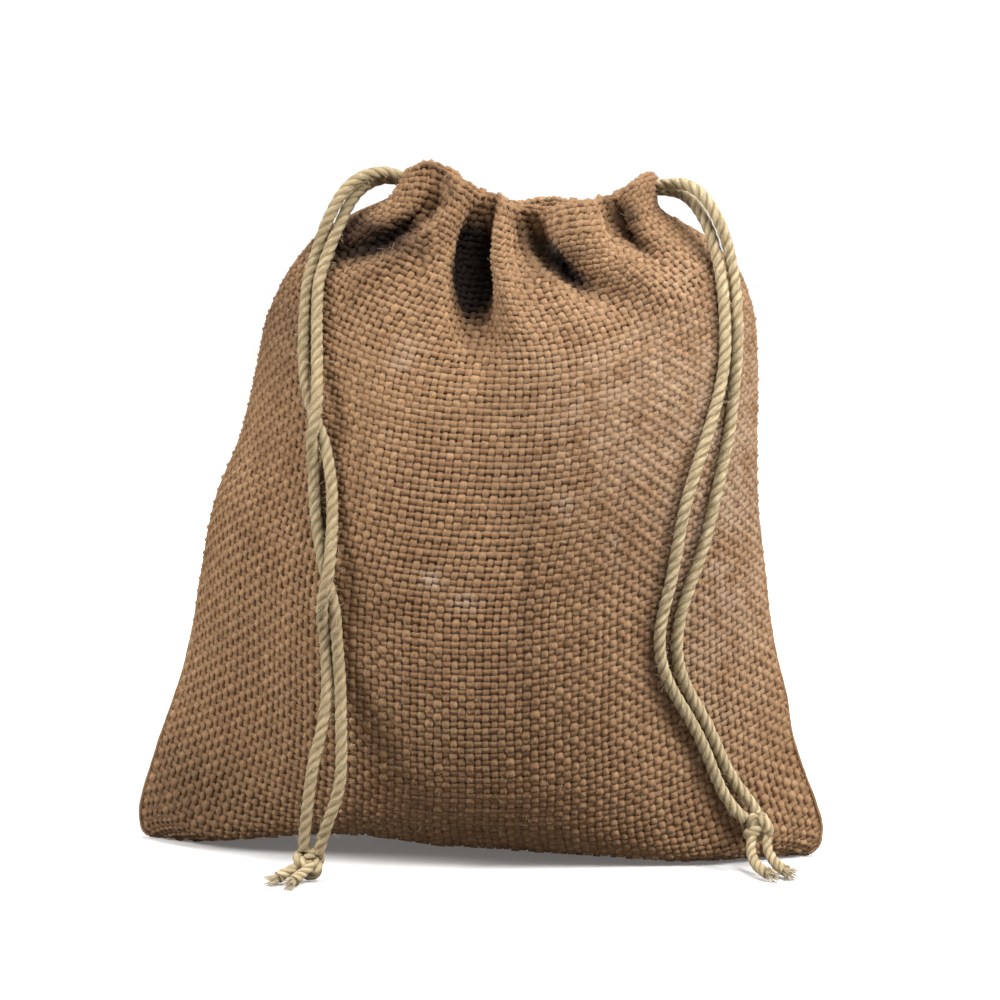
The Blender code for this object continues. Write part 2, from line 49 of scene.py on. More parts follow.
def put(name, data):
    """A new object with this data, put into the scene."""
    holder = bpy.data.objects.new(name, data)
    bpy.context.scene.collection.objects.link(holder)
    return holder


# ---------------------------------------------------------------- camera
VIEW_AZIMUTH, VIEW_ELEVATION, VIEW_ROLL = 5.0, 5.5, 0.5
VIEW_DISTANCE = 0.75
VIEW_TARGET = (0.0051, 0.0, 0.0974)
VIEW_WIDTH = 0.2754       # metres across the picture at the target
SENSOR_WIDTH = 36.0


def make_camera():
    azimuth, elevation = math.radians(VIEW_AZIMUTH), math.radians(VIEW_ELEVATION)
    level = math.cos(elevation)
    away = Vector((math.sin(azimuth) * level, -math.cos(azimuth) * level, math.sin(elevation)))
    lens = bpy.data.cameras.new("camera")
    lens.sensor_width = SENSOR_WIDTH
    lens.lens = SENSOR_WIDTH * VIEW_DISTANCE / VIEW_WIDTH
    lens.dof.use_dof = False
    camera = put("camera", lens)
    camera.location = Vector(VIEW_TARGET) + away * VIEW_DISTANCE
    facing = (-away).to_track_quat("-Z", "Y").to_matrix()
    camera.rotation_euler = (facing @ Matrix.Rotation(math.radians(VIEW_ROLL), 3, "Z")).to_euler()
    bpy.context.scene.camera = camera


make_camera()

# ---------------------------------------------------------------- the sack's cloth, mm
CLOTH_HEIGHT = 210.0      # along the cloth, from the bottom fold to the top of the hem
CLOTH_THICKNESS = 1.9
CORD_DIAMETER = 3.1
CORD_LAY = 9.0            # length of one turn of the cord's plies
CORD_STEP = 1.35          # between a strand's points while it is laid on the cloth
FINE_POINTS = 40          # for each point of a route, while its length is measured
EASING_ROUNDS = 60        # of moving the strands clear of the cloth
CLEARANCE = 0.32          # left between two touching pieces
PLEAT_DEEPER = 1.25       # the woven face folds this much more than its plain solid
PLEAT_SIDEWAYS = 0.6      # share of a fold's depth that goes sideways
PLEAT_END = 0.25          # how quickly folds fade out at the side seams
LINE_POINTS = 241
FLOOR_RUN, FLOOR_SINK = 20, 0.3        # below this run the cloth sinks this much to the floor
ARCH_RUN, BACK_EDGE_RUN = 60.0, 14.0   # the lower edge's arch and the back's rise end here
MOUTH_RUN, MOUTH_POWER = 158.0, 1.15   # from here up the cloth is drawn to its pleated mouth

# Each row is one line of cloth around the sack, this far along the cloth from the fold.
STATION_COLUMNS = (
    "run", "left_x", "left_z", "right_x", "right_z",
    "front_y", "front_z", "back_y", "back_z", "flatness", "roundness",
)
STATIONS = (
    (0.0, -93.6, 0.3, 91.6, 0.3, -0.8, 0.0, 0.8, 0.0, 12.0, 1.00),
    (4.0, -96.0, 2.8, 94.9, 3.2, -4.4, 0.0, 4.2, 0.0, 10.0, 1.00),
    (8.0, -96.6, 6.8, 95.8, 7.3, -8.4, 0.0, 8.2, 0.0, 8.0, 1.00),
    (16.0, -95.2, 14.8, 93.8, 15.3, -16.3, 0.0, 16.1, 0.0, 6.5, 1.00),
    (24.0, -92.8, 22.6, 90.8, 23.0, -23.3, 3.4, 23.1, 3.0, 4.0, 1.00),
    (34.0, -89.6, 32.4, 87.4, 32.8, -30.1, 10.6, 29.9, 10.2, 2.8, 0.95),
    (46.0, -85.6, 43.5, 85.2, 44.8, -36.1, 21.0, 35.8, 20.4, 2.3, 0.88),
    (60.0, -82.0, 57.0, 81.6, 59.0, -40.4, 34.4, 40.0, 33.8, 2.1, 0.80),
    (80.0, -78.7, 76.5, 78.7, 79.0, -43.6, 54.2, 43.0, 53.6, 2.1, 0.72),
    (100.0, -74.8, 96.2, 76.3, 98.6, -44.5, 74.2, 43.6, 73.6, 2.1, 0.66),
    (120.0, -67.4, 115.0, 75.7, 118.4, -43.1, 94.2, 42.1, 93.6, 2.1, 0.62),
    (140.0, -62.8, 134.2, 75.4, 137.4, -39.5, 114.0, 38.5, 113.6, 2.1, 0.60),
    (155.0, -59.6, 148.4, 74.0, 150.8, -35.3, 128.0, 34.5, 127.8, 2.1, 0.58),
    (168.0, -53.6, 160.4, 69.6, 161.6, -30.8, 139.8, 30.0, 139.8, 2.1, 0.57),
    (180.0, -45.2, 169.6, 61.4, 169.2, -26.0, 150.2, 25.5, 150.2, 2.1, 0.56),
    (190.0, -35.6, 174.4, 54.4, 173.0, -21.8, 158.8, 21.5, 158.8, 2.1, 0.55),
    (200.0, -26.0, 178.2, 48.2, 176.8, -18.0, 167.6, 18.0, 167.6, 2.1, 0.54),
    (210.0, -21.0, 185.0, 47.6, 184.6, -15.0, 178.0, 15.0, 178.0, 2.1, 0.52),
)
# The bottom edge arches off the floor here: how high, where, and over what half-width.
ARCH_HEIGHT, ARCH_X, ARCH_WIDTH = 6.0, -44.0, 38.0
# The front's lower edge is drawn up off the floor by this much more: x and rise.
EDGE_RISE = (
    (-84.0, 0.0), (-66.0, 0.6), (-46.0, 1.2), (-28.0, 3.9), (-8.0, 5.2),
    (11.0, 4.4), (33.0, 3.2), (55.0, 1.5), (78.0, 0.0),
)

# The pleated mouth: "across" runs 0 to 1 from the left side seam to the right one.
# Columns: across, x, y, z.
FRONT_MOUTH = (
    (0.00, -21.0, 0.0, 187.2),
    (0.10, -20.6, -8.5, 187.6),
    (0.20, -17.4, -14.6, 188.0),
    (0.29, -12.8, -12.6, 188.6),
    (0.345, -10.2, -10.2, 187.6),
    (0.40, -5.0, -15.4, 184.6),
    (0.435, -1.4, -12.6, 182.2),
    (0.465, 2.0, -8.6, 180.2),
    (0.495, 5.0, -12.8, 179.2),
    (0.53, 9.0, -14.6, 178.0),
    (0.565, 13.0, -9.4, 176.6),
    (0.59, 16.0, -9.2, 176.4),
    (0.63, 20.6, -14.4, 177.6),
    (0.68, 26.4, -16.0, 178.8),
    (0.73, 32.2, -12.6, 179.4),
    (0.76, 35.2, -10.4, 180.0),
    (0.80, 38.6, -13.6, 182.4),
    (0.87, 43.4, -13.0, 184.8),
    (0.94, 46.8, -7.2, 186.0),
    (1.00, 47.6, 0.0, 186.0),
)
BACK_MOUTH = (
    (0.00, -21.0, 0.0, 187.2),
    (0.12, -19.0, 8.0, 186.6),
    (0.22, -13.4, 13.6, 185.4),
    (0.30, -7.6, 9.8, 183.0),
    (0.39, -1.0, 15.0, 180.6),
    (0.46, 6.0, 9.8, 178.4),
    (0.54, 13.0, 14.8, 179.8),
    (0.60, 18.6, 15.4, 180.2),
    (0.67, 25.0, 9.8, 178.4),
    (0.76, 33.0, 15.0, 179.6),
    (0.84, 39.6, 9.6, 181.8),
    (0.92, 45.0, 8.8, 184.8),
    (1.00, 47.6, 0.0, 186.0),
)

# Folds pressed into the cloth (depth above 0) or standing out of it (below 0).
# Columns: name, place across at its top and low end, width at its top and low end, depth,
# and how far up the cloth it begins, is deepest and ends.
FRONT_FOLDS = (
    ("shoulder_valley", 0.478, 0.020, 0.030, 0.062, 6.5, 166, 191, 214),
    ("second_pleat", 0.471, 0.149, 0.028, 0.050, -4.2, 168, 196, 216),
    ("deep_left", 0.464, 0.446, 0.022, 0.046, 9.5, 152, 188, 220),
    ("tongue", 0.490, 0.560, 0.028, 0.034, -2.6, 160, 192, 214),
    ("deep_right", 0.503, 0.763, 0.024, 0.042, 7.0, 166, 193, 220),
    ("broad_pleat", 0.690, 0.835, 0.034, 0.048, -3.8, 158, 194, 216),
    ("right_slit", 0.729, 0.862, 0.019, 0.026, 5.5, 172, 197, 222),
    ("right_shoulder", 0.930, 0.920, 0.050, 0.050, 2.0, 168, 190, 208),
    ("trough", 0.470, 0.500, 0.060, 0.060, 2.6, 60, 150, 190),
    ("left_ridge", 0.340, 0.320, 0.060, 0.060, -1.8, 50, 128, 176),
    ("right_ridge", 0.640, 0.660, 0.070, 0.070, -2.0, 50, 130, 180),
    ("low_dent", 0.760, 0.800, 0.060, 0.060, 1.4, 16, 60, 110),
    ("left_dent", 0.180, 0.160, 0.060, 0.060, 1.6, 20, 70, 120),
)
BACK_FOLDS = (
    ("back_deep_left", 0.300, 0.300, 0.022, 0.042, 7.5, 152, 191, 216),
    ("back_deep_mid", 0.460, 0.475, 0.022, 0.046, 8.5, 148, 189, 216),
    ("back_deep_right", 0.670, 0.690, 0.022, 0.042, 7.5, 154, 191, 216),
    ("back_right_slit", 0.840, 0.820, 0.024, 0.032, 4.0, 166, 196, 220),
    ("back_pleat_left", 0.385, 0.380, 0.034, 0.040, -2.6, 156, 190, 212),
    ("back_pleat_right", 0.580, 0.580, 0.036, 0.044, -2.8, 156, 190, 212),
    ("back_trough", 0.400, 0.420, 0.070, 0.070, 2.4, 50, 130, 180),
    ("back_ridge", 0.600, 0.620, 0.070, 0.070, -1.8, 40, 110, 176),
)
MOUTHS = {"front": FRONT_MOUTH, "back": BACK_MOUTH}
FOLDS = {"front": FRONT_FOLDS, "back": BACK_FOLDS}

# The drawcord: two strands leave the hem at each side seam and end in one knot.
# Columns: x, y, z.
LEFT_CORD_A = (
    (-22.6, -3.8, 185.8), (-31.0, -6.0, 187.2), (-37.6, -10.0, 181.8), (-40.4, -13.0, 174.7),
    (-44.0, -11.5, 165.6), (-46.2, -17.2, 153.0), (-46.2, -20.9, 144.5), (-45.8, -23.7, 136.3),
    (-44.7, -26.5, 128.0), (-42.3, -29.3, 122.0), (-39.2, -32.5, 115.1), (-36.9, -35.1, 109.3),
    (-35.7, -37.6, 100.3), (-35.5, -39.8, 92.6), (-35.8, -44.4, 81.3), (-36.3, -43.3, 74.5),
    (-37.0, -39.9, 67.4), (-37.0, -39.2, 59.2), (-36.4, -41.5, 50.4), (-36.8, -43.5, 42.2),
    (-39.3, -45.0, 33.6), (-40.6, -46.0, 23.1), (-41.6, -46.0, 14.8), (-42.1, -45.4, 5.2),
)
LEFT_CORD_B = (
    (-22.6, -0.4, 184.4), (-30.7, -2.4, 184.9), (-36.6, -8.6, 177.6), (-37.4, -11.5, 173.0),
    (-40.4, -12.4, 165.6), (-42.7, -19.1, 153.1), (-42.4, -22.7, 144.6), (-41.8, -26.1, 136.5),
    (-40.9, -31.2, 128.3), (-40.5, -34.5, 122.4), (-41.2, -33.3, 115.2), (-41.5, -32.7, 109.0),
    (-41.0, -34.8, 99.9), (-40.0, -36.7, 92.2), (-36.8, -39.7, 80.7), (-35.4, -40.4, 74.2),
    (-34.2, -40.2, 67.5), (-33.4, -39.8, 59.5), (-32.9, -41.5, 50.4), (-32.6, -43.5, 42.3),
    (-32.1, -45.0, 33.8), (-32.4, -46.0, 23.4), (-36.4, -46.0, 14.8), (-38.6, -45.4, 5.2),
)
RIGHT_CORD_A = (
    (49.2, 0.4, 182.6), (53.9, -3.0, 182.7), (60.0, -8.0, 175.5), (62.3, -10.0, 170.8),
    (65.0, -12.1, 160.7), (66.0, -14.7, 153.3), (66.4, -17.0, 145.4), (66.4, -18.9, 137.5),
    (65.1, -21.4, 129.2), (62.9, -24.7, 120.9), (60.5, -27.6, 112.9), (57.8, -29.9, 104.6),
    (55.6, -31.0, 94.9), (54.2, -31.5, 84.9), (52.5, -32.0, 75.9), (50.2, -32.5, 68.1),
    (49.9, -31.5, 61.2), (52.0, -28.3, 52.6), (56.4, -24.4, 44.9), (60.5, -21.6, 38.0),
    (63.5, -19.1, 30.5), (65.5, -17.3, 23.7), (68.6, -16.4, 17.6), (76.6, -17.6, 12.2),
)
RIGHT_CORD_B = (
    (49.2, -3.2, 183.8), (54.2, -7.2, 185.5), (62.0, -10.8, 178.8), (65.2, -11.8, 172.0),
    (67.8, -11.0, 161.8), (68.5, -14.5, 153.3), (69.2, -16.6, 145.4), (69.4, -17.3, 137.5),
    (68.8, -17.9, 129.0), (68.1, -19.1, 120.6), (66.8, -21.0, 112.4), (64.9, -23.4, 104.1),
    (63.1, -24.7, 94.4), (60.4, -26.8, 84.4), (57.4, -28.7, 76.6), (55.0, -29.4, 68.0),
    (54.4, -28.6, 61.0), (56.0, -26.0, 52.6), (60.1, -22.3, 45.1), (63.4, -19.9, 37.7),
    (66.2, -17.6, 30.3), (69.8, -15.2, 23.9), (74.6, -15.0, 18.4), (77.8, -16.6, 12.2),
)
CORD_PAIRS = (
    ("cord_left_front", LEFT_CORD_A, "cord_left_back", LEFT_CORD_B),
    ("cord_right_inner", RIGHT_CORD_A, "cord_right_outer", RIGHT_CORD_B),
)

KNOT_RADIUS = 3.8
LEFT_KNOT = (-40.4, -45.4, 5.05)
RIGHT_KNOT = (77.3, -17.4, 11.8)
LEFT_TAILS = (
    ((-41.4, -45.8, 4.9), (-45.2, -48.6, 3.3), (-48.0, -50.8, 2.0)),
    ((-40.0, -46.6, 4.7), (-42.2, -50.8, 2.7), (-43.4, -54.2, 1.9)),
)
RIGHT_TAILS = (
    ((78.8, -18.2, 10.6), (80.2, -21.6, 5.8), (82.6, -25.0, 3.0), (84.8, -27.6, 2.2)),
    ((76.2, -18.8, 10.6), (75.6, -22.6, 5.6), (77.6, -27.2, 2.8), (80.0, -30.4, 2.1)),
)
KNOT_SIZE, KNOT_TWINE, KNOT_LAY = 3.3, 1.55, 7.0    # the loop, its cord's radius, its plies' turn
TAIL_TWINE, TAIL_WIDENS = 1.35, 0.35   # a tail's radius at the knot, and how much more at its end
FRAY_FIBRES = 90
# Columns: name, middle, tails and how it is turned, in radians.
KNOTS = (
    ("knot_left", LEFT_KNOT, LEFT_TAILS, (1.25, 0.35, 0.2)),
    ("knot_right", RIGHT_KNOT, RIGHT_TAILS, (0.9, -0.4, 1.1)),
)


# ---------------------------------------------------------------- curves through a table
def slopes(knots, values):
    """Slopes of a smooth curve through a table's rows, for a cubic between each two."""
    step = np.diff(knots)
    rise = np.diff(values) / step
    middle = (rise[:-1] * step[1:] + rise[1:] * step[:-1]) / (step[:-1] + step[1:])
    return np.concatenate([rise[:1], middle, rise[-1:]])


def through(knots, values, at):
    """The smooth curve through a table's rows, read at these places."""
    knots = np.asarray(knots, float)
    values = np.asarray(values, float)
    at = np.clip(np.asarray(at, float), knots[0], knots[-1])
    m = slopes(knots, values)
    i = np.clip(np.searchsorted(knots, at, side="right") - 1, 0, len(knots) - 2)
    h = knots[i + 1] - knots[i]
    t = (at - knots[i]) / h
    return (
        values[i] * (1 + 2 * t) * (1 - t) ** 2
        + h * m[i] * t * (1 - t) ** 2
        + values[i + 1] * t * t * (3 - 2 * t)
        + h * m[i + 1] * t * t * (t - 1)
    )


def smooth_step(x):
    x = np.clip(x, 0.0, 1.0)
    return x * x * (3 - 2 * x)


def run_along(points):
    """How far along a line of points each of them lies."""
    return np.concatenate([[0], np.cumsum(np.linalg.norm(np.diff(points, axis=0), axis=1))])


# ---------------------------------------------------------------- the sack's surface, mm
def station(run):
    """The measures of the line of cloth this far from the bottom fold."""
    rows = np.array(STATIONS)
    return {
        name: float(through(rows[:, 0], rows[:, k], run))
        for k, name in enumerate(STATION_COLUMNS)
    }


def plain_line(run, across, side):
    """That line before pleats and folds, its threads evenly spaced along it."""
    s = station(run)
    swell = np.sin(np.linspace(-math.pi / 2, math.pi / 2, LINE_POINTS))
    half = (s["right_x"] - s["left_x"]) / 2
    x = (s["right_x"] + s["left_x"]) / 2 + half * swell
    reach = np.abs(swell) ** s["flatness"]
    y = s[side + "_y"] * np.clip(1 - reach, 0, None) ** s["roundness"]
    end_z = np.where(swell < 0, s["left_z"], s["right_z"])
    mid_z = s[side + "_z"]
    z = mid_z + (end_z - mid_z) * reach
    if run < FLOOR_RUN:
        z = np.maximum(z - FLOOR_SINK * (1 - reach), 0.0)
    low = 1 - float(smooth_step(run / ARCH_RUN))
    arch = ARCH_HEIGHT * np.clip(1 - ((x - ARCH_X) / ARCH_WIDTH) ** 2, 0, None) ** 2
    edge = through(*np.array(EDGE_RISE).T, np.clip(x, EDGE_RISE[0][0], EDGE_RISE[-1][0]))
    if side == "back":
        edge = edge * (1 - float(smooth_step(run / BACK_EDGE_RUN)))
    z = z + low * (arch + edge)
    length = np.concatenate(
        [[0.0], np.cumsum(np.sqrt(np.diff(x) ** 2 + np.diff(y) ** 2 + np.diff(z) ** 2))]
    )
    share = length / length[-1]
    return np.stack([np.interp(across, share, v) for v in (x, y, z)], axis=1)


def fold_depth(run, across, folds):
    """How far the folds press in at each place of this line."""
    total = np.zeros(len(across))
    for _name, at_top, at_low, wide_top, wide_low, depth, low, deepest, top in folds:
        if not low < run < top:
            continue
        if run < deepest:
            strength = smooth_step((run - low) / (deepest - low))
        else:
            strength = smooth_step((top - run) / (top - deepest))
        up = (run - low) / (top - low)
        place = at_low + (at_top - at_low) * up
        width = wide_low + (wide_top - wide_low) * up
        total += PLEAT_DEEPER * depth * strength * np.exp(-(((across - place) / width) ** 2))
    return total


def cloth_line(run, across, side):
    """The outside of the sack along one line of cloth, as points in mm."""
    across = np.asarray(across, float)
    points = plain_line(run, across, side)
    table = np.array(MOUTHS[side])
    plain_mouth = plain_line(CLOTH_HEIGHT, across, side)
    gather = float(smooth_step((run - MOUTH_RUN) / (CLOTH_HEIGHT - MOUTH_RUN))) ** MOUTH_POWER
    for k in range(3):
        points[:, k] += gather * (through(table[:, 0], table[:, k + 1], across) - plain_mouth[:, k])
    turned = np.gradient(points[:, 0]), np.gradient(points[:, 1])
    size = np.sqrt(turned[0] ** 2 + turned[1] ** 2) + 1e-9
    inward = 1.0 if side == "front" else -1.0
    depth = fold_depth(run, across, FOLDS[side])
    depth *= np.sin(np.pi * np.clip(across, 0, 1)) ** PLEAT_END
    points[:, 0] -= inward * depth * turned[1] / size * PLEAT_SIDEWAYS
    points[:, 1] += inward * depth * turned[0] / size
    return points


def even_curve(points, step):
    """Points about this far apart on the smooth curve through a route's points."""
    points = np.array(points, float)
    chord = run_along(points)
    fine_at = np.linspace(0, chord[-1], FINE_POINTS * len(points))
    fine = np.stack([through(chord, points[:, k], fine_at) for k in range(3)], axis=1)
    run = run_along(fine)
    count = max(2, int(round(run[-1] / step)) + 1)
    at = np.linspace(0, run[-1], count)
    return np.stack([np.interp(at, run, fine[:, k]) for k in range(3)], axis=1)


def leave_hem(route, tree):
    """Starts a strand square to the hem, just off it."""
    where, normal, _face, _gap = tree.find_nearest(Vector(route[0]))
    start = where + normal * (CLEARANCE + 0.1)
    return [tuple(start), tuple(start + normal * 3.0)] + list(route[1:])


def rest_on_cloth(first, second, tree):
    """Keeps two strands clear of the cloth and of each other, and eases their bends."""
    keep_cloth = CORD_DIAMETER / 2 + CLEARANCE
    keep_apart = CORD_DIAMETER + CLEARANCE + 0.1
    for _round in range(EASING_ROUNDS):
        for line, other in ((first, second), (second, first)):
            line[2:-3] += 0.25 * (line[1:-4] + line[3:-2] - 2 * line[2:-3]) / 2
            for i in range(2, len(line) - 2):
                place = Vector(line[i])
                where, normal, _face, gap = tree.find_nearest(place)
                side = (place - where).dot(normal)
                if gap < keep_cloth or side < 0:
                    line[i] += np.array(normal) * (keep_cloth - (gap if side > 0 else -gap))
                apart = line[i] - other
                size = np.linalg.norm(apart, axis=1)
                near = int(size.argmin())
                if size[near] < keep_apart:
                    push = apart[near] / (size[near] + 1e-9) * (keep_apart - size[near])
                    line[i] += 0.5 * push
                    if 2 <= near < len(other) - 2:
                        other[near] -= 0.5 * push


# ---------------------------------------------------------------- the weave, mm
WARPS = 92                # threads up each face
UP_LIFT = 0.50            # how far a thread up the cloth rises and dips at a crossing
AROUND_LIFT = 0.27        # and how far a thread around it does
ROW_STEP = 0.9            # run between a crossing and the middle of the next gap
FIRST_RUN = 0.1           # how far from the bottom fold the rows begin
YARN_DEPTH = 0.70         # thickness of a thread over its width
YARN_FILL = 0.53          # reach of a thread's corners over its pitch
YARN_SIDES = 4
WIDEST_PITCH = 2.35       # threads don't swell to fill more than this
FUZZ_FROM = 5.0           # no fibres stand out lower than this
HEM_TOP = 235             # the row of threads that lies along the rim
HEM_END = 247             # the last row of the turned-in hem
RIM_DEEPER, HEM_DEEPER = 0.6, 1.25     # how much deeper the rim and the turned-in hem lie
LOWEST_MIDDLE = 0.95      # no thread's middle lies lower than this
FULL_ROOM = 1.8           # threads thin where front and back are nearer than twice this
GATHER_FROM, GATHER_SPREAD = 95.0, 0.22
CORE_INSET = 0.26         # the matted back of the cloth, under its middle
CORE_THICKNESS = 0.35
SEAM_PROUD = 0.05         # how far the thread along each side stands out
SEAM_SHARE = 0.7          # how much of the room beside a seam a layer may take
SEAM_RADIUS = 0.95
SEAM_FREE = 0.004         # share of a row beside each seam without threads up
UP_SWAY, UP_SWAY_ROWS = 0.16, 70.0     # how far a thread up wanders sideways, over how many rows
UP_SWELL, UP_SWELL_ROWS = 0.16, 19.0   # and how much its thickness changes
BULGE = 0.16              # a thread is wider where it lies on top
# Where each kind of thread begins in its numbers, and its seeds.
UP_THREADS = {"front": 0, "back": WARPS}
SEAM_THREADS, AROUND_THREADS, KNOT_THREADS, TAIL_THREADS = 360, 400, 60.0, 70.0
SWAY_SEED, SWELL_SEED, UP_SEED, AROUND_SEED, SEAM_SEED, FRAY_SEED = 1000, 3000, 500, 900, 70, 31
LOW_ROWS = 118            # the rows around the sack are one piece below this and one above
TWINE_SIDES = 18
TWINE_STEP = 0.6
TWINE_FULLNESS = 1.06     # the plies stand a little proud of the plain cord
PLY_GROOVE, PLY_ROUNDNESS = 0.17, 0.75   # depth of the groove between plies, and their shape


def unit(v):
    return v / (np.linalg.norm(v, axis=-1, keepdims=True) + 1e-12)


def wander(at, wavelength, seed):
    """Smooth seeded noise of about unit size along a thread."""
    own = np.random.default_rng(seed)
    total = np.zeros(len(at))
    for octave in (1.0, 2.3, 4.1):
        total += np.sin(at * 2 * math.pi * octave / wavelength + own.uniform(0, 6.3)) / octave
    return total * 0.8


def cloth_grid():
    """The sack's outside and its normals on even rows and columns, for each side."""
    runs = np.arange(0.0, CLOTH_HEIGHT + 0.5, 1.0)
    across = np.linspace(0, 1, 401)
    found = {}
    for side in ("front", "back"):
        points = np.array([cloth_line(float(run), across, side) for run in runs])
        around = np.gradient(points, axis=1)
        along = np.gradient(points, axis=0)
        normal = np.cross(around, along) * (1 if side == "front" else -1)
        depth = np.array([fold_depth(float(run), across, FOLDS[side]) for run in runs])
        step = np.linalg.norm(np.diff(points, axis=1), axis=2)
        length = np.concatenate([np.zeros((len(runs), 1)), np.cumsum(step, axis=1)], axis=1)
        found[side] = {
            "way": length / length[:, -1:],
            "points": points,
            "normal": unit(normal),
            "along": unit(along),
            "around": unit(around),
            "hollow": depth,
        }
    return found


GRID = cloth_grid()


def between_rows(rows, run):
    """The grid's row just below this run, and the way from it to the next, from 0 to 1."""
    low = int(np.clip(math.floor(run), 0, len(rows) - 2))
    return low, float(np.clip(run - low, 0, 1))


def read_row(side, run, shares, name):
    """One line of the grid at this run, read at these shares across."""
    rows = GRID[side][name]
    low, t = between_rows(rows, run)
    line = rows[low] * (1 - t) + rows[low + 1] * t
    place = np.clip(shares, 0, 1) * (rows.shape[1] - 1)
    left = np.clip(np.floor(place).astype(int), 0, rows.shape[1] - 2)
    u = place - left
    if line.ndim == 1:
        return line[left] * (1 - u) + line[left + 1] * u
    return line[left] * (1 - u[:, None]) + line[left + 1] * u[:, None]


def inset(side, run, shares, depth):
    """Points this far inside the cloth's outside, drawn in from the side seams."""
    point = read_row(side, run, shares, "points")
    other = read_row("back" if side == "front" else "front", run, shares, "points")
    normal = unit(read_row(side, run, shares, "normal"))
    room = np.linalg.norm(point - other, axis=1) / 2
    down = np.minimum(depth, SEAM_SHARE * room)
    ends = read_row(side, run, np.round(shares), "points")
    middle = read_row(side, run, np.array([0.5]), "points")
    inward = unit((middle - ends) * (1.0, 0.0, 0.0))
    return point - normal * down[:, None] + inward * (depth - down)[:, None], normal, room


def run_of(row):
    """How far up the cloth a row of threads lies; past the hem's top it goes down again."""
    if row >= HEM_TOP:
        row = 2 * HEM_TOP - 0.5 - row
    return min(FIRST_RUN + ROW_STEP * row, CLOTH_HEIGHT)


def cloth_row(side, row, shares):
    """Middle of the cloth, its outward direction and its tangents for one row of threads."""
    shares = np.asarray(shares, float)
    run = run_of(row)
    depth, turned = CLOTH_THICKNESS / 2, 1.0
    if row == HEM_TOP:
        depth, turned = CLOTH_THICKNESS / 2 + RIM_DEEPER, 0.0
    elif row > HEM_TOP:
        depth, turned = CLOTH_THICKNESS / 2 + HEM_DEEPER, -1.0
    middle, normal, room = inset(side, run, shares, depth)
    along = unit(read_row(side, run, shares, "along"))
    around = unit(read_row(side, run, shares, "around"))
    hollow = read_row(side, run, shares, "hollow")
    outward = normal * turned
    if row == HEM_TOP:
        middle = middle + along * 0.5
        outward = along
    middle[:, 2] = np.maximum(middle[:, 2], LOWEST_MIDDLE)
    return middle, outward, around, hollow, np.clip(room / FULL_ROOM, 0.15, 1.0)


def way_of(thread, row):
    """How far along its row a thread up the cloth crosses it, from 0 to 1."""
    gathered = smooth_step((run_of(row) - GATHER_FROM) / (CLOTH_HEIGHT - GATHER_FROM))
    return 0.5 + ((np.asarray(thread, float) + 0.5) / WARPS - 0.5) * (1 + GATHER_SPREAD * gathered)


def share_of(side, row, way):
    """The table's place for a way along the row."""
    rows = GRID[side]["way"]
    low, t = between_rows(rows, run_of(row))
    across = np.linspace(0, 1, rows.shape[1])
    return np.interp(way, rows[low], across) * (1 - t) + np.interp(way, rows[low + 1], across) * t


def over(thread, row):
    """Whether the thread up the cloth lies over the one across it here: 1 or -1."""
    return 1.0 if (thread + (row - 1) // 2) % 2 == 0 else -1.0


def inside_seams(way):
    return (way > SEAM_FREE) & (way < 1 - SEAM_FREE)


def thread_line(points, outward, width, thread, along, lift, hollow, closed=False):
    """A thread's middle line, with what each of its points carries."""
    points = np.array(points)
    each = {"width": width, "along": along, "lift": lift, "hollow": hollow}
    return {
        "points": points,
        "outward": np.broadcast_to(outward, points.shape).astype(float),
        "thread": thread,
        "closed": closed,
        **{label: np.broadcast_to(v, len(points)).astype(float) for label, v in each.items()},
    }


def warp_lines(side):
    """The threads up one face, from the bottom fold over the rim into the hem."""
    offset = UP_THREADS[side]
    rows = list(range(1, HEM_END + 1))
    threads = np.arange(WARPS)
    table = {}
    for row in rows:
        way = way_of(threads, row)
        facts = cloth_row(side, row, share_of(side, row, way))
        beside = [
            cloth_row(side, row, share_of(side, row, way_of(threads + k, row)))[0]
            for k in (-0.5, 0.5)
        ]
        pitch = np.linalg.norm(beside[1] - beside[0], axis=1)
        table[row] = (*facts, pitch, inside_seams(way))
    lines = []
    for thread in threads:
        kept = [row for row in rows if table[row][-1][thread]]
        at = np.array(kept, float)
        sway = wander(at, UP_SWAY_ROWS, SWAY_SEED + offset + thread) * UP_SWAY
        swell = 1 + UP_SWELL * wander(at, UP_SWELL_ROWS, SWELL_SEED + offset + thread)
        own = 0.82 + 0.34 * np.random.default_rng(UP_SEED + offset + thread).random()
        points, outs, width, lift, hollows = [], [], [], [], []
        for number, row in enumerate(kept):
            middle, outward, around, hollow, room, pitch, _kept = (part[thread] for part in table[row])
            rise = over(thread + offset, row) if row % 2 == 1 else 0.0
            points.append(middle + outward * rise * UP_LIFT * room + around * sway[number] * room)
            outs.append(outward)
            bulge = (1 + BULGE * rise) * (0.55 + 0.45 * room)
            width.append(YARN_FILL * min(pitch, WIDEST_PITCH) * swell[number] * own * bulge)
            lift.append(rise)
            hollows.append(hollow)
        lines.append(thread_line(points, outs, width, offset + thread, at, lift, hollows))
    return lines


def seam_row(row, share):
    """Where front and back meet at a side seam in one row, and both outward directions."""
    here, there = (cloth_row(side, row, np.array([share])) for side in ("front", "back"))
    return (here[0][0] + there[0][0]) / 2, here[1][0] + there[1][0]


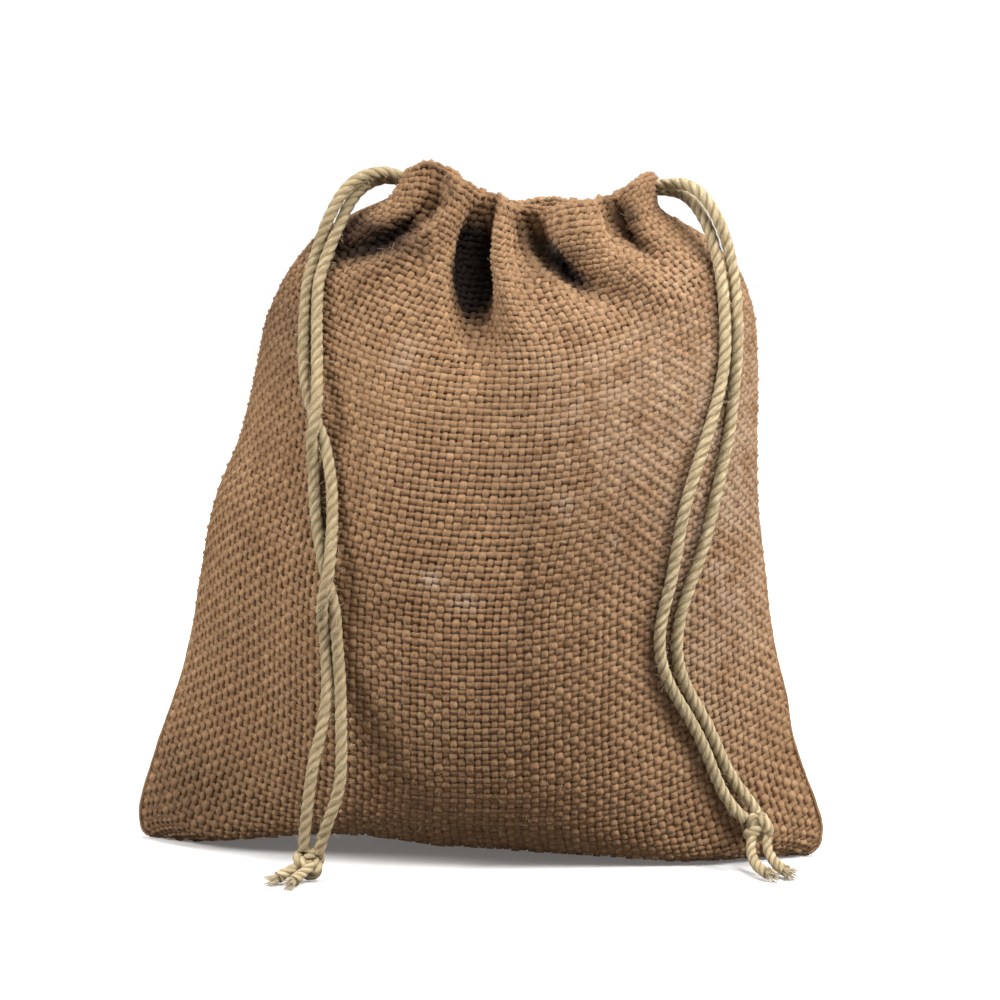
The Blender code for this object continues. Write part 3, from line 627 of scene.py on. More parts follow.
def seam_lines():
    """The thread that runs up each side, where the cloth turns from front to back."""
    lines = []
    for number, share in enumerate((0.0, 1.0)):
        points, outs = [], []
        for row in range(1, HEM_TOP):
            middle, facing = seam_row(row, share)
            outward = unit(facing * (1.0, 0.2, 0.3))
            points.append(middle + outward * SEAM_PROUD)
            outs.append(outward)
        at = np.arange(1, HEM_TOP).astype(float)
        width = SEAM_RADIUS * (1 + 0.12 * wander(at, 17.0, SEAM_SEED + number))
        lines.append(thread_line(points, outs, width, SEAM_THREADS + number, at, 0.2, 0.0))
    return lines


def weft_lines(rows):
    """The threads around the sack at these rows."""
    lines = []
    halves = np.arange(-0.5, WARPS, 0.5)
    for row in rows:
        kept = halves[inside_seams(way_of(halves, row))]
        points, outs, lift, hollows, rooms = [], [], [], [], []
        for side, threads in (("front", kept), ("back", kept[::-1])):
            offset = UP_THREADS[side]
            middle, facing = seam_row(row, 0.0 if side == "front" else 1.0)
            points.append(middle)
            outs.append(unit(facing))
            lift.append(0.0)
            hollows.append(0.0)
            rooms.append(0.3)
            shares = share_of(side, row, way_of(threads, row))
            middle, outward, _around, hollow, room = cloth_row(side, row, shares)
            for number, thread in enumerate(threads):
                crossing = abs(thread - round(thread)) < 0.01
                rise = -over(int(round(thread)) + offset, row) if crossing else 0.0
                points.append(middle[number] + outward[number] * rise * AROUND_LIFT * room[number])
                lift.append(rise)
            outs.extend(outward)
            hollows.extend(hollow)
            rooms.extend(room)
        points = np.array(points)
        run = run_along(points)
        own = 0.84 + 0.32 * np.random.default_rng(AROUND_SEED + row).random()
        turn = np.arange(len(points)) / len(points) * 2 * math.pi
        swell = 1 + 0.10 * np.sin(turn * 9 + row * 1.7) * np.sin(turn * 14 + row * 2.9)
        swell = swell + 0.07 * np.sin(turn * 37 + row * 5.1)
        sway = 0.15 * np.sin(turn * 6 + row * 2.1) + 0.10 * np.sin(turn * 17 + row)
        flat = np.clip((points[:, 2] - 1.2) / 4.0, 0, 1)
        pressed = 0.7 + 0.3 * np.array(rooms)
        width = YARN_FILL * 2 * ROW_STEP * swell * own * pressed
        points = points + np.array([0.0, 0.0, 1.0]) * (sway * flat)[:, None]
        lines.append(
            thread_line(points, outs, width, AROUND_THREADS + row, run, lift, hollows, True)
        )
    return lines


# ---------------------------------------------------------------- nodes
def wire(tree, value, socket):
    """Gives a socket another node's output, or a plain value."""
    if isinstance(value, bpy.types.NodeSocket):
        tree.links.new(value, socket)
    else:
        socket.default_value = value


def add(tree, kind, inputs=None, **settings):
    """A new node with these settings, its inputs given by name or number."""
    node = tree.nodes.new(kind)
    for label, value in settings.items():
        setattr(node, label, value)
    for label, value in (inputs or {}).items():
        wire(tree, value, node.inputs[label])
    return node


def out(tree, kind, inputs=None, **settings):
    """The first output of such a new node."""
    return add(tree, kind, inputs, **settings).outputs[0]


def math_node(tree, operation, *values):
    return out(tree, "ShaderNodeMath", dict(enumerate(values)), operation=operation)


# ---------------------------------------------------------------- node trees that grow pieces
def new_tree(name, **numbers):
    """An empty geometry tree with these named inputs, and its inputs' sockets."""
    tree = bpy.data.node_groups.new(name, "GeometryNodeTree")
    face = tree.interface
    face.new_socket("Geometry", in_out="INPUT", socket_type="NodeSocketGeometry")
    for label, value in numbers.items():
        kind = "NodeSocketInt" if isinstance(value, int) else "NodeSocketFloat"
        face.new_socket(label, in_out="INPUT", socket_type=kind).default_value = value
    face.new_socket("Material", in_out="INPUT", socket_type="NodeSocketMaterial")
    face.new_socket("Geometry", in_out="OUTPUT", socket_type="NodeSocketGeometry")
    return tree, tree.nodes.new("NodeGroupInput").outputs


def attribute_in(tree, name, kind="FLOAT"):
    return out(tree, "GeometryNodeInputNamedAttribute", {"Name": name}, data_type=kind)


def finish_tree(tree, start, geometry):
    """Smooth faces, real geometry and the material, as every tree ends."""
    smooth = out(tree, "GeometryNodeSetShadeSmooth", {"Geometry": geometry})
    real = out(tree, "GeometryNodeRealizeInstances", {"Geometry": smooth})
    with_material = {"Geometry": real, "Material": start["Material"]}
    made = out(tree, "GeometryNodeSetMaterial", with_material)
    add(tree, "NodeGroupOutput", {"Geometry": made})
    return tree


def unit_circle(tree, sides):
    return out(tree, "GeometryNodeCurvePrimitiveCircle", {"Resolution": sides, "Radius": 1.0})


def sweep(tree, start, curve, ring):
    """The end of both thread trees: a ring, its points numbered, drawn along the lines."""
    numbers = {"Geometry": ring, "Name": "side", "Value": out(tree, "GeometryNodeInputIndex")}
    numbered = out(tree, "GeometryNodeStoreNamedAttribute", numbers, data_type="FLOAT")
    width = attribute_in(tree, "width")
    shape = {"Curve": curve, "Profile Curve": numbered, "Scale": width, "Fill Caps": True}
    return finish_tree(tree, start, out(tree, "GeometryNodeCurveToMesh", shape))


def yarn_tree():
    """Lines become threads, flattened against the cloth."""
    tree, start = new_tree("yarn_along_lines", Sides=YARN_SIDES, Flatness=YARN_DEPTH)
    curve = out(tree, "GeometryNodeMeshToCurve", {"Mesh": start["Geometry"]})
    outward = {"Curve": curve, "Normal": attribute_in(tree, "outward", "FLOAT_VECTOR")}
    facing = out(tree, "GeometryNodeSetCurveNormal", outward, mode="FREE")
    eighth = {"Geometry": unit_circle(tree, start["Sides"]), "Rotation": (0.0, 0.0, math.radians(45))}
    turned = out(tree, "GeometryNodeTransform", eighth)
    scale = out(tree, "ShaderNodeCombineXYZ", {"X": start["Flatness"], "Y": 1.0, "Z": 1.0})
    flat = out(tree, "GeometryNodeTransform", {"Geometry": turned, "Scale": scale})
    return sweep(tree, start, facing, flat)


def twine_tree():
    """Lines become a cord of three plies that wind around each other."""
    tree, start = new_tree(
        "twine_along_lines", Sides=TWINE_SIDES, Lay=CORD_LAY * MM, Groove=PLY_GROOVE
    )
    curve = out(tree, "GeometryNodeMeshToCurve", {"Mesh": start["Geometry"]})
    length = add(tree, "GeometryNodeSplineParameter").outputs["Length"]
    angle = math_node(tree, "MULTIPLY", math_node(tree, "DIVIDE", length, start["Lay"]), 2 * math.pi)
    wound = out(tree, "GeometryNodeSetCurveTilt", {"Curve": curve, "Tilt": angle})
    share = math_node(tree, "DIVIDE", out(tree, "GeometryNodeInputIndex"), start["Sides"])
    lobe = math_node(tree, "COSINE", math_node(tree, "MULTIPLY", share, 3 * math.pi))
    round_lobe = math_node(tree, "POWER", math_node(tree, "ABSOLUTE", lobe), PLY_ROUNDNESS)
    depth = math_node(tree, "MULTIPLY", start["Groove"], round_lobe)
    floor_level = math_node(tree, "SUBTRACT", 1.0, start["Groove"])
    reach = {0: out(tree, "GeometryNodeInputPosition"), "Scale": math_node(tree, "ADD", floor_level, depth)}
    place = out(tree, "ShaderNodeVectorMath", reach, operation="SCALE")
    lobes = {"Geometry": unit_circle(tree, start["Sides"]), "Position": place}
    return sweep(tree, start, wound, out(tree, "GeometryNodeSetPosition", lobes))


def chance(tree, low, high, seed):
    """A random number between these two for each fibre."""
    node = add(tree, "FunctionNodeRandomValue", {"Seed": seed}, data_type="FLOAT")
    numbers = [socket for socket in node.inputs if socket.type == "VALUE"]
    wire(tree, low, numbers[0])
    wire(tree, high, numbers[1])
    return [socket for socket in node.outputs if socket.type == "VALUE"][0]


def fuzz_tree():
    """Short curved fibres that stand out of a surface, fewer where it is folded in."""
    tree, start = new_tree(
        "fuzz_on_surface",
        Density=20000.0, Length=3.0 * MM, Thickness=0.045 * MM, Lean=1.1, Seed=3,
    )
    folded_in = math_node(tree, "DIVIDE", attribute_in(tree, "hollow"), 3.0)
    open_cloth = math_node(tree, "MAXIMUM", math_node(tree, "SUBTRACT", 1.0, folded_in), 0.0)
    height = add(tree, "ShaderNodeSeparateXYZ", {0: out(tree, "GeometryNodeInputPosition")})
    clear = math_node(tree, "GREATER_THAN", height.outputs["Z"], FUZZ_FROM * MM)
    open_cloth = math_node(tree, "MULTIPLY", open_cloth, clear)
    density = math_node(tree, "MULTIPLY", start["Density"], open_cloth)
    spread = {"Mesh": start["Geometry"], "Density": density, "Seed": start["Seed"]}
    spots = add(tree, "GeometryNodeDistributePointsOnFaces", spread).outputs
    upright = out(
        tree, "FunctionNodeAlignRotationToVector", {"Vector": spots["Normal"]}, axis="Z"
    )
    back_lean = math_node(tree, "MULTIPLY", start["Lean"], -1.0)
    lean = {
        "X": chance(tree, back_lean, start["Lean"], 5),
        "Y": chance(tree, back_lean, start["Lean"], 6),
        "Z": chance(tree, 0.0, 6.2832, 7),
    }
    lean = out(tree, "FunctionNodeEulerToRotation", {"Euler": out(tree, "ShaderNodeCombineXYZ", lean)})
    turn = {"Rotation": upright, "Rotate By": lean}
    turn = out(tree, "FunctionNodeRotateRotation", turn, rotation_space="LOCAL")
    bend = {
        "Resolution": 3, "Start": (0.0, 0.0, -0.1), "Middle": (0.05, 0.0, 0.6), "End": (0.6, 0.0, 0.8),
    }
    long_one = math_node(tree, "MULTIPLY", start["Length"], chance(tree, 0.35, 1.5, 8))
    each = {
        "Points": spots["Points"], "Instance": out(tree, "GeometryNodeCurveQuadraticBezier", bend),
        "Rotation": turn, "Scale": long_one,
    }
    placed = out(tree, "GeometryNodeInstanceOnPoints", each)
    real = out(tree, "GeometryNodeRealizeInstances", {"Geometry": placed})
    round_of_three = {"Resolution": 3, "Radius": start["Thickness"]}
    circle = out(tree, "GeometryNodeCurvePrimitiveCircle", round_of_three)
    tube = out(tree, "GeometryNodeCurveToMesh", {"Curve": real, "Profile Curve": circle})
    return finish_tree(tree, start, tube)


def share_along(line):
    """How far along its line each point is, from 0 to 1."""
    count = len(line["points"])
    return np.arange(count) / (count - (0 if line["closed"] else 1))


def add_layer(mesh, label, values):
    """Stores a number or a direction for each point of a mesh."""
    kind, field = ("FLOAT_VECTOR", "vector") if values.ndim == 2 else ("FLOAT", "value")
    layer = mesh.attributes.new(label, kind, "POINT")
    layer.data.foreach_set(field, values.astype(np.float32).ravel())


def line_mesh(name, lines):
    """Open and closed lines as one mesh of edges, with what each point carries."""
    counts = [len(line["points"]) for line in lines]
    edges, start = [], 0
    for line, count in zip(lines, counts):
        ids = np.arange(start, start + count)
        edges.append(np.stack([ids[:-1], ids[1:]], axis=1))
        if line["closed"]:
            edges.append([[ids[-1], ids[0]]])
        start += count
    edges = np.concatenate(edges)

    def joined(label):
        return np.concatenate([line[label] for line in lines])

    mesh = bpy.data.meshes.new(name)
    mesh.vertices.add(start)
    mesh.vertices.foreach_set("co", (joined("points") * MM).astype(np.float32).ravel())
    mesh.edges.add(len(edges))
    mesh.edges.foreach_set("vertices", edges.astype(np.int32).ravel())
    add_layer(mesh, "outward", joined("outward"))
    add_layer(mesh, "width", joined("width") * MM)
    add_layer(mesh, "thread", np.repeat([float(line["thread"]) for line in lines], counts))
    add_layer(mesh, "strip", np.repeat(np.arange(len(lines), dtype=float), counts))
    add_layer(mesh, "along", joined("along"))
    add_layer(mesh, "share", np.concatenate([share_along(line) for line in lines]))
    add_layer(mesh, "lift", joined("lift"))
    add_layer(mesh, "hollow", joined("hollow"))
    mesh.update()
    return mesh


def grow(name, mesh, tree, **values):
    """The piece that a tree grows from this mesh, as a plain mesh."""
    seed = put(f"{name}_lines", mesh)
    change = seed.modifiers.new(tree.name, "NODES")
    change.node_group = tree
    for item in tree.interface.items_tree:
        if item.item_type == "SOCKET" and item.in_out == "INPUT" and item.name in values:
            change[item.identifier] = values[item.name]
    graph = bpy.context.evaluated_depsgraph_get()
    made = bpy.data.meshes.new_from_object(
        seed.evaluated_get(graph), preserve_all_data_layers=True, depsgraph=graph
    )
    bpy.data.objects.remove(seed)
    made.name = name
    return put(name, made)


def values_of(mesh, label):
    found = np.zeros(len(mesh.vertices), np.float32)
    mesh.attributes[label].data.foreach_get("value", found)
    return found


def whole_numbers(collection, field):
    found = np.zeros(len(collection), np.int32)
    collection.foreach_get(field, found)
    return found


def lay_out(piece, sides, rows_each=1):
    """The piece's own map: each thread is a strip, cut into rows where it is long."""
    mesh = piece.data
    strip, share, side = (values_of(mesh, label) for label in ("strip", "share", "side"))
    corner = whole_numbers(mesh.loops, "vertex_index")
    first = whole_numbers(mesh.polygons, "loop_start")
    size = whole_numbers(mesh.polygons, "loop_total")
    face = np.repeat(np.arange(len(first)), size)
    k = side[corner]
    t = share[corner]

    def by_face(values, how):
        return how.reduceat(values, first)[face]

    low_k, high_k = by_face(k, np.minimum), by_face(k, np.maximum)
    low_t, high_t = by_face(t, np.minimum), by_face(t, np.maximum)
    cap = (high_t - low_t < 1e-9) | (size[face] != 4)
    wraps = (high_k - low_k > 1.5) & ~cap
    k = np.where(wraps & (k < sides / 2), k + sides, k)
    turns = (high_t - low_t > 0.5) & ~cap
    t = np.where(turns & (t < 0.5), t + 1.0, t)
    low_t = by_face(t, np.minimum)
    row = np.clip(np.floor(low_t * rows_each + 1e-6), 0, rows_each - 1)
    count = (strip.max() + 1) * rows_each
    u = np.clip(t * rows_each - row, 0, 1.05) / 1.06
    v = (strip[corner] * rows_each + row + 0.06 + 0.88 * k / sides) / count
    spin = 2 * math.pi * k / sides
    u = np.where(cap, 0.985 + 0.01 * np.cos(spin), u)
    v = np.where(cap, (strip[corner] * rows_each + 0.5 + 0.3 * np.sin(spin)) / count, v)
    layer = mesh.uv_layers.new(name="OFBake")
    layer.data.foreach_set("uv", np.stack([u, v], axis=1).astype(np.float32).ravel())


def drop_facts(piece):
    """Takes off what a piece's points carried only for its making."""
    for label in ("outward", "width", "strip", "share"):
        if label in piece.data.attributes:
            piece.data.attributes.remove(piece.data.attributes[label])


# ---------------------------------------------------------------- finishes
# Colours are linear red, green and blue.
YARN_DARK, YARN_LIGHT = (0.160, 0.087, 0.043), (0.350, 0.215, 0.118)
YARN_STAIN, YARN_WORN = (0.140, 0.070, 0.031), (0.40, 0.255, 0.135)
YARN_AROUND, YARN_DULL = (0.125, 0.065, 0.030), (0.110, 0.055, 0.025)
# The next two colours are painted shade: at listed places on the front, mixed there with darker tone, and
# where a thread dips under another.
YARN_TONE_AND_SHADE, YARN_DIP_SHADE = (0.036, 0.018, 0.009), (0.085, 0.042, 0.020)
DEEP_SHADE, PALE_TONE = (0.007, 0.004, 0.003), (0.44, 0.365, 0.29)
CORE_DARK, CORE_LIGHT = (0.25, 0.140, 0.070), (0.40, 0.240, 0.125)
TWINE_DARK, TWINE_LIGHT = (0.235, 0.176, 0.094), (0.520, 0.425, 0.268)
# The second colour is painted shade in the grooves between plies.
TWINE_STAIN, TWINE_GROOVE_SHADE = (0.335, 0.258, 0.145), (0.115, 0.082, 0.042)
TWINE_LEFT_DARKER = (0.165, 0.120, 0.062)
LOOSE_DARK, LOOSE_LIGHT = (0.26, 0.17, 0.095), (0.50, 0.37, 0.235)
CORD_LOOSE_DARK, CORD_LOOSE_LIGHT = (0.36, 0.29, 0.175), (0.62, 0.53, 0.37)
AROUND_FROM = AROUND_THREADS - 2.0     # threads around the sack are numbered above this
STRAND_NUMBERS = 11.0     # between one strand's number and the next; the left two come first


def shader_group(name, outputs, **inputs):
    """An empty group of shading nodes: inputs are numbers, or None for a place."""
    group = bpy.data.node_groups.new(name, "ShaderNodeTree")
    for label, value in inputs.items():
        kind = "NodeSocketVector" if value is None else "NodeSocketFloat"
        socket = group.interface.new_socket(label, in_out="INPUT", socket_type=kind)
        if value is not None:
            socket.default_value = value
    for label in outputs:
        group.interface.new_socket(label, in_out="OUTPUT", socket_type="NodeSocketFloat")
    return group, group.nodes.new("NodeGroupInput").outputs


def noise(tree, vector, scale, rough):
    numbers = {"Vector": vector, "Scale": scale, "Detail": 4.0, "Roughness": rough}
    return add(tree, "ShaderNodeTexNoise", numbers).outputs["Fac"]


def mapped(tree, value, from_low, from_high, to_low, to_high):
    numbers = {"From Min": from_low, "From Max": from_high, "To Min": to_low, "To Max": to_high}
    return out(tree, "ShaderNodeMapRange", {"Value": value, **numbers})


def mottle_group():
    """Slow cloudy variation over a piece, as dye and handling leave it, from 0 to 1."""
    group, start = shader_group("cloudy_tone", ("Tone",), Place=None, Scale=30.0)
    spread = noise(group, start["Place"], start["Scale"], 0.6)
    add(group, "NodeGroupOutput", {"Tone": mapped(group, spread, 0.3, 0.7, 0.0, 1.0)})
    return group


# Darker places on the front of the sack: painted shade low on the front, along the lower edge, at the lower
# left corner, in the valley and crease beside the left ear and in the slits of the right pleats; the other
# rows are darker patches and one thin upright line. Columns: x, z and reach in mm, and strength.
DARK_TONE_AND_PAINTED_SHADE = (
    # painted shade low on the front, where the cloth turns down
    (0.0, 36.0, 44.0, 30.0, 0.22),
    (4.0, 104.0, 26.0, 30.0, 0.16),
    (44.0, 92.0, 18.0, 34.0, 0.17),
    (-58.0, 158.0, 12.0, 14.0, 0.20),
    (16.5, 78.0, 2.0, 40.0, 0.26),
    # painted shade along the lower edge and at the lower left corner
    (24.0, 10.0, 58.0, 9.0, 0.08),
    (-82.0, 13.0, 22.0, 17.0, 0.55),
    # painted shade in the valley under the left ear
    (-34.0, 170.0, 13.0, 5.5, 0.97),
    (-38.0, 167.5, 8.0, 6.5, 0.85),
    # painted shade in the slits of the right pleats
    (40.7, 174.6, 2.4, 2.6, 0.80),
    (38.6, 177.4, 1.8, 2.2, 0.60),
    (24.6, 165.0, 4.2, 2.8, 0.55),
    # painted shade in the left shoulder's valley
    (-24.0, 167.5, 9.0, 3.5, 0.80),
    (-55.0, 146.0, 12.0, 14.0, 0.30),
    (-68.0, 62.0, 14.0, 30.0, 0.04),
    # painted shade along the crease beside the left ear
    (-14.0, 188.4, 1.7, 1.0, 0.60),
    (-11.2, 187.2, 1.5, 1.2, 0.70),
    (-8.6, 184.6, 1.2, 1.6, 0.70),
    (-7.2, 181.4, 1.1, 1.7, 0.65),
    (-9.4, 178.2, 1.5, 1.2, 0.55),
    (-13.0, 174.9, 1.8, 1.3, 0.60),
    (-17.8, 171.6, 2.4, 1.6, 0.70),
)
# Paler places on the front: small flecks of lint, and two broad paler stretches on the right. Columns: x, z
# and reach in mm, and strength.
PALE_SMUDGES = (
    (-8.5, 80.4, 4.0, 2.4, 0.30),
    (0.5, 74.8, 3.6, 2.2, 0.26),
    (39.4, 88.0, 3.0, 4.0, 0.20),
    (-18.2, 137.5, 3.2, 4.2, 0.20),
    (19.2, 167.4, 1.6, 2.2, 0.50),
    (26.0, 100.0, 2.6, 3.4, 0.15),
    (40.0, 126.0, 26.0, 22.0, 0.12),
    (66.0, 96.0, 16.0, 60.0, 0.18),
)


def smudge_group(name, rows):
    """Soft blots at fixed places on the front, summed, from 0 to 1."""
    group, start = shader_group(name, ("Amount",), Place=None)
    place = add(group, "ShaderNodeSeparateXYZ", {0: start["Place"]}).outputs
    total = 0.0
    for x, z, reach_x, reach_z, strength in rows:
        squares = []
        for axis, centre, reach in (("X", x, reach_x), ("Z", z, reach_z)):
            away = math_node(group, "SUBTRACT", place[axis], centre * MM)
            share = math_node(group, "DIVIDE", away, reach * MM)
            squares.append(math_node(group, "MULTIPLY", share, share))
        fall = math_node(group, "MULTIPLY", math_node(group, "ADD", *squares), -1.0)
        blot = math_node(group, "MULTIPLY", math_node(group, "EXPONENT", fall), strength)
        total = math_node(group, "ADD", total, blot)
    front = mapped(group, place["Y"], -0.004, 0.004, 1.0, 0.0)
    add(group, "NodeGroupOutput", {"Amount": math_node(group, "MULTIPLY", total, front)})
    return group


def fibre_group():
    """Fine streaks of single fibres along a thread, from 0 to 1, and a height to bump."""
    group, start = shader_group(
        "fibre_streaks", ("Streak", "Height"),
        Thread=0.0, Along=0.0, Side=0.0, Stretch=0.35, Slant=0.4,
    )
    slant = math_node(group, "MULTIPLY", start["Side"], start["Slant"])
    stretched = math_node(group, "MULTIPLY", start["Along"], start["Stretch"])
    axes = {
        "X": math_node(group, "MULTIPLY", start["Thread"], 5.37),
        "Y": math_node(group, "ADD", stretched, slant),
        "Z": math_node(group, "MULTIPLY", start["Side"], 0.4),
    }
    streak = noise(group, out(group, "ShaderNodeCombineXYZ", axes), 1.0, 0.65)
    streaks = {"Streak": mapped(group, streak, 0.36, 0.64, 0.0, 1.0), "Height": streak}
    add(group, "NodeGroupOutput", streaks)
    return group


def new_material(name, roughness):
    material = bpy.data.materials.new(name)
    material.use_nodes = True
    shader = material.node_tree.nodes["Principled BSDF"].inputs
    shader["Roughness"].default_value = roughness
    shader["Specular IOR Level"].default_value = 0.18
    return material, material.node_tree, shader


def attribute(tree, label):
    return add(tree, "ShaderNodeAttribute", attribute_name=label).outputs["Fac"]


def use_group(tree, group, **values):
    return add(tree, "ShaderNodeGroup", values, node_tree=group).outputs


def streaked(tree, streaks, **values):
    """The streaks along this piece's own threads."""
    own = {
        label: attribute(tree, label.lower())
        for label in ("Thread", "Along", "Side") if label not in values
    }
    return use_group(tree, streaks, **own, **values)


def mix_colour(tree, share, first, second):
    """The first colour, with this share of the second."""
    node = add(tree, "ShaderNodeMix", {"Factor": share}, data_type="RGBA")
    sockets = [socket for socket in node.inputs if socket.type == "RGBA"]
    for socket, value in zip(sockets, (first, second)):
        wire(tree, (*value, 1.0) if isinstance(value, tuple) else value, socket)
    return [socket for socket in node.outputs if socket.type == "RGBA"][0]


def object_place(tree):
    return add(tree, "ShaderNodeTexCoord").outputs["Object"]


def bump_fibres(tree, shader, height, strength, distance):
    """Lets the fibres of a thread stand out a little."""
    numbers = {"Strength": strength, "Distance": distance, "Height": height}
    wire(tree, out(tree, "ShaderNodeBump", numbers), shader["Normal"])


def shade_hollows(tree, colour, place, start, full, opened):
    """Darkens the bottoms of deep pleats, where no light gets in; less so at their two ends."""
    height = add(tree, "ShaderNodeSeparateXYZ", {0: place}).outputs["Z"]
    open_top = mapped(tree, height, 0.160, 0.182, 0.0, opened)
    open_low = mapped(tree, height, 0.143, 0.160, 6.0, 0.0)
    lit = math_node(tree, "ADD", open_top, open_low)
    depth = math_node(tree, "SUBTRACT", attribute(tree, "hollow"), lit)
    return mix_colour(tree, mapped(tree, depth, start, full, 0.0, 0.985), colour, DEEP_SHADE)


def burlap_material(mottle, streaks, shade_and_tone, paler_places):
    """Brown jute yarn, streaked along its fibres, with painted shade where a thread dips under another, in
    deep folds and at listed creases and low places on the front.
    """
    material, tree, shader = new_material("burlap_yarn", 0.9)
    place = object_place(tree)
    cloudy = use_group(tree, mottle, Place=place, Scale=26.0)["Tone"]
    fine = use_group(tree, mottle, Place=place, Scale=150.0)["Tone"]
    fibres = streaked(tree, streaks, Stretch=0.62, Slant=0.5)
    threads = streaked(tree, streaks, Side=0.0, Stretch=0.035, Slant=0.0)["Streak"]
    dark_spots = use_group(tree, shade_and_tone, Place=place)["Amount"]
    colour = mix_colour(tree, fibres["Streak"], YARN_DARK, YARN_LIGHT)
    for share, over_it in (
        (mapped(tree, cloudy, 0, 1, 0.0, 0.55), YARN_STAIN),
        (mapped(tree, fine, 0, 1, 0.0, 0.30), YARN_WORN),
        (mapped(tree, attribute(tree, "thread"), AROUND_FROM, AROUND_FROM + 1, 0.0, 0.26), YARN_AROUND),
        (mapped(tree, threads, 0, 1, 0.42, 0.0), YARN_DULL),
        # painted shade in creases and low on the front, with some patches of darker tone
        (mapped(tree, dark_spots, 0, 1, 0.0, 1.0), YARN_TONE_AND_SHADE),
        # painted shade where a thread dips under the one that crosses it
        (mapped(tree, attribute(tree, "lift"), -1.0, 0.6, 0.06, 0.0), YARN_DIP_SHADE),
    ):
        colour = mix_colour(tree, share, colour, over_it)
    colour = shade_hollows(tree, colour, place, 2.4, 6.8, 1.2)
    pale_spots = use_group(tree, paler_places, Place=place)["Amount"]
    broken = math_node(tree, "MULTIPLY", pale_spots, mapped(tree, fine, 0.2, 0.8, 0.1, 1.3))
    wire(tree, mix_colour(tree, broken, colour, PALE_TONE), shader["Base Color"])
    bump_fibres(tree, shader, fibres["Height"], 0.5, 0.0004)
    return material


def core_material(mottle):
    """The matted, shaded back of the cloth that shows between its threads."""
    material, tree, shader = new_material("burlap_between_threads", 0.97)
    place = object_place(tree)
    cloudy = use_group(tree, mottle, Place=place, Scale=400.0)["Tone"]
    colour = mix_colour(tree, cloudy, CORE_DARK, CORE_LIGHT)
    wire(tree, shade_hollows(tree, colour, place, 1.0, 3.6, 0.0), shader["Base Color"])
    return material


def twine_material(mottle, streaks):
    """Khaki jute cord, its fibres streaked along each ply, with painted shade in the grooves between plies;
    the left strands are duller.
    """
    material, tree, shader = new_material("jute_twine", 0.88)
    cloudy = use_group(tree, mottle, Place=object_place(tree), Scale=60.0)["Tone"]
    fibres = streaked(tree, streaks, Stretch=0.55)
    left, right = STRAND_NUMBERS, 2 * STRAND_NUMBERS
    colour = mix_colour(tree, fibres["Streak"], TWINE_DARK, TWINE_LIGHT)
    for share, over_it in (
        (mapped(tree, cloudy, 0, 1, 0.0, 0.35), TWINE_STAIN),
        # painted shade in the grooves between the plies
        (mapped(tree, attribute(tree, "lift"), 0.0, 1.0, 0.85, 0.0), TWINE_GROOVE_SHADE),
        (mapped(tree, attribute(tree, "thread"), left, right, 0.42, 0.0), TWINE_LEFT_DARKER),
    ):
        colour = mix_colour(tree, share, colour, over_it)
    wire(tree, colour, shader["Base Color"])
    bump_fibres(tree, shader, fibres["Height"], 0.7, 0.0005)
    return material


def fibre_material(name, mottle, dark, light):
    material, tree, shader = new_material(name, 0.8)
    cloudy = use_group(tree, mottle, Place=object_place(tree), Scale=300.0)["Tone"]
    wire(tree, mix_colour(tree, cloudy, dark, light), shader["Base Color"])
    return material


# ---------------------------------------------------------------- pieces
SKIN_ROWS = (
    1, 4, 7, 10, 14, 18, 24, 31, 38, 46, 55, 65, 75, 85, 95, 105, 115, 125, 134, 141, 147, 152,
    156, *range(159, 210, 2),
)
SKIN_STEPS = 140
HOLLOW_INSET = 0.07         # deeper still where the cloth is folded in, per mm of fold


def skin(depth):
    """One closed-bottomed skin this deep in the cloth: rings of points, and faces outward."""
    across = np.linspace(0, 1, SKIN_STEPS + 1)
    points, faces, hollows = [], [], []
    for row in SKIN_ROWS:
        deep = [read_row(side, float(row), across, "hollow") for side in ("front", "back")]
        front = inset("front", float(row), across, depth + HOLLOW_INSET * deep[0])[0]
        back = inset("back", float(row), across[::-1], depth + HOLLOW_INSET * deep[1][::-1])[0]
        front[0] = (front[0] + back[-1]) / 2
        front[-1] = (front[-1] + back[0]) / 2
        points.append(np.concatenate([front, back[1:-1]]))
        hollows.append(np.concatenate([deep[0], deep[1][::-1][1:-1]]))
    points = np.concatenate(points)
    points[:, 2] = np.maximum(points[:, 2], depth)
    around = 2 * SKIN_STEPS
    for level in range(len(SKIN_ROWS) - 1):
        low, high = level * around, (level + 1) * around
        for i in range(around):
            j = (i + 1) % around
            faces.append((low + i, low + j, high + j, high + i))
    for i in range(SKIN_STEPS):
        ring = (i, (around - i) % around, around - i - 1, i + 1)
        faces.append(tuple(dict.fromkeys(ring)))
    return points, faces, np.concatenate(hollows)


def plain_mesh(name, points, faces, hollows):
    mesh = bpy.data.meshes.new(name)
    mesh.from_pydata([tuple(MM * c for c in p) for p in points], [], faces)
    mesh.validate()
    mesh.shade_smooth()
    add_layer(mesh, "hollow", hollows)
    return mesh


def make_core(material):
    """The back of the cloth: a thin closed skin just under the middle of the weave."""
    depth = CLOTH_THICKNESS / 2 + CORE_INSET
    outer, faces, hollows = skin(depth)
    inner, _same, _hollows = skin(depth + CORE_THICKNESS)
    count, around = len(outer), 2 * SKIN_STEPS
    faces = faces + [tuple(count + k for k in face[::-1]) for face in faces]
    rim = count - around
    for i in range(around):
        j = (i + 1) % around
        faces.append((rim + i, rim + j, count + rim + j, count + rim + i))
    mesh = plain_mesh("sack_cloth", np.concatenate([outer, inner]), faces, np.tile(hollows, 2))
    mesh.materials.append(material)
    return put("sack_cloth", mesh)


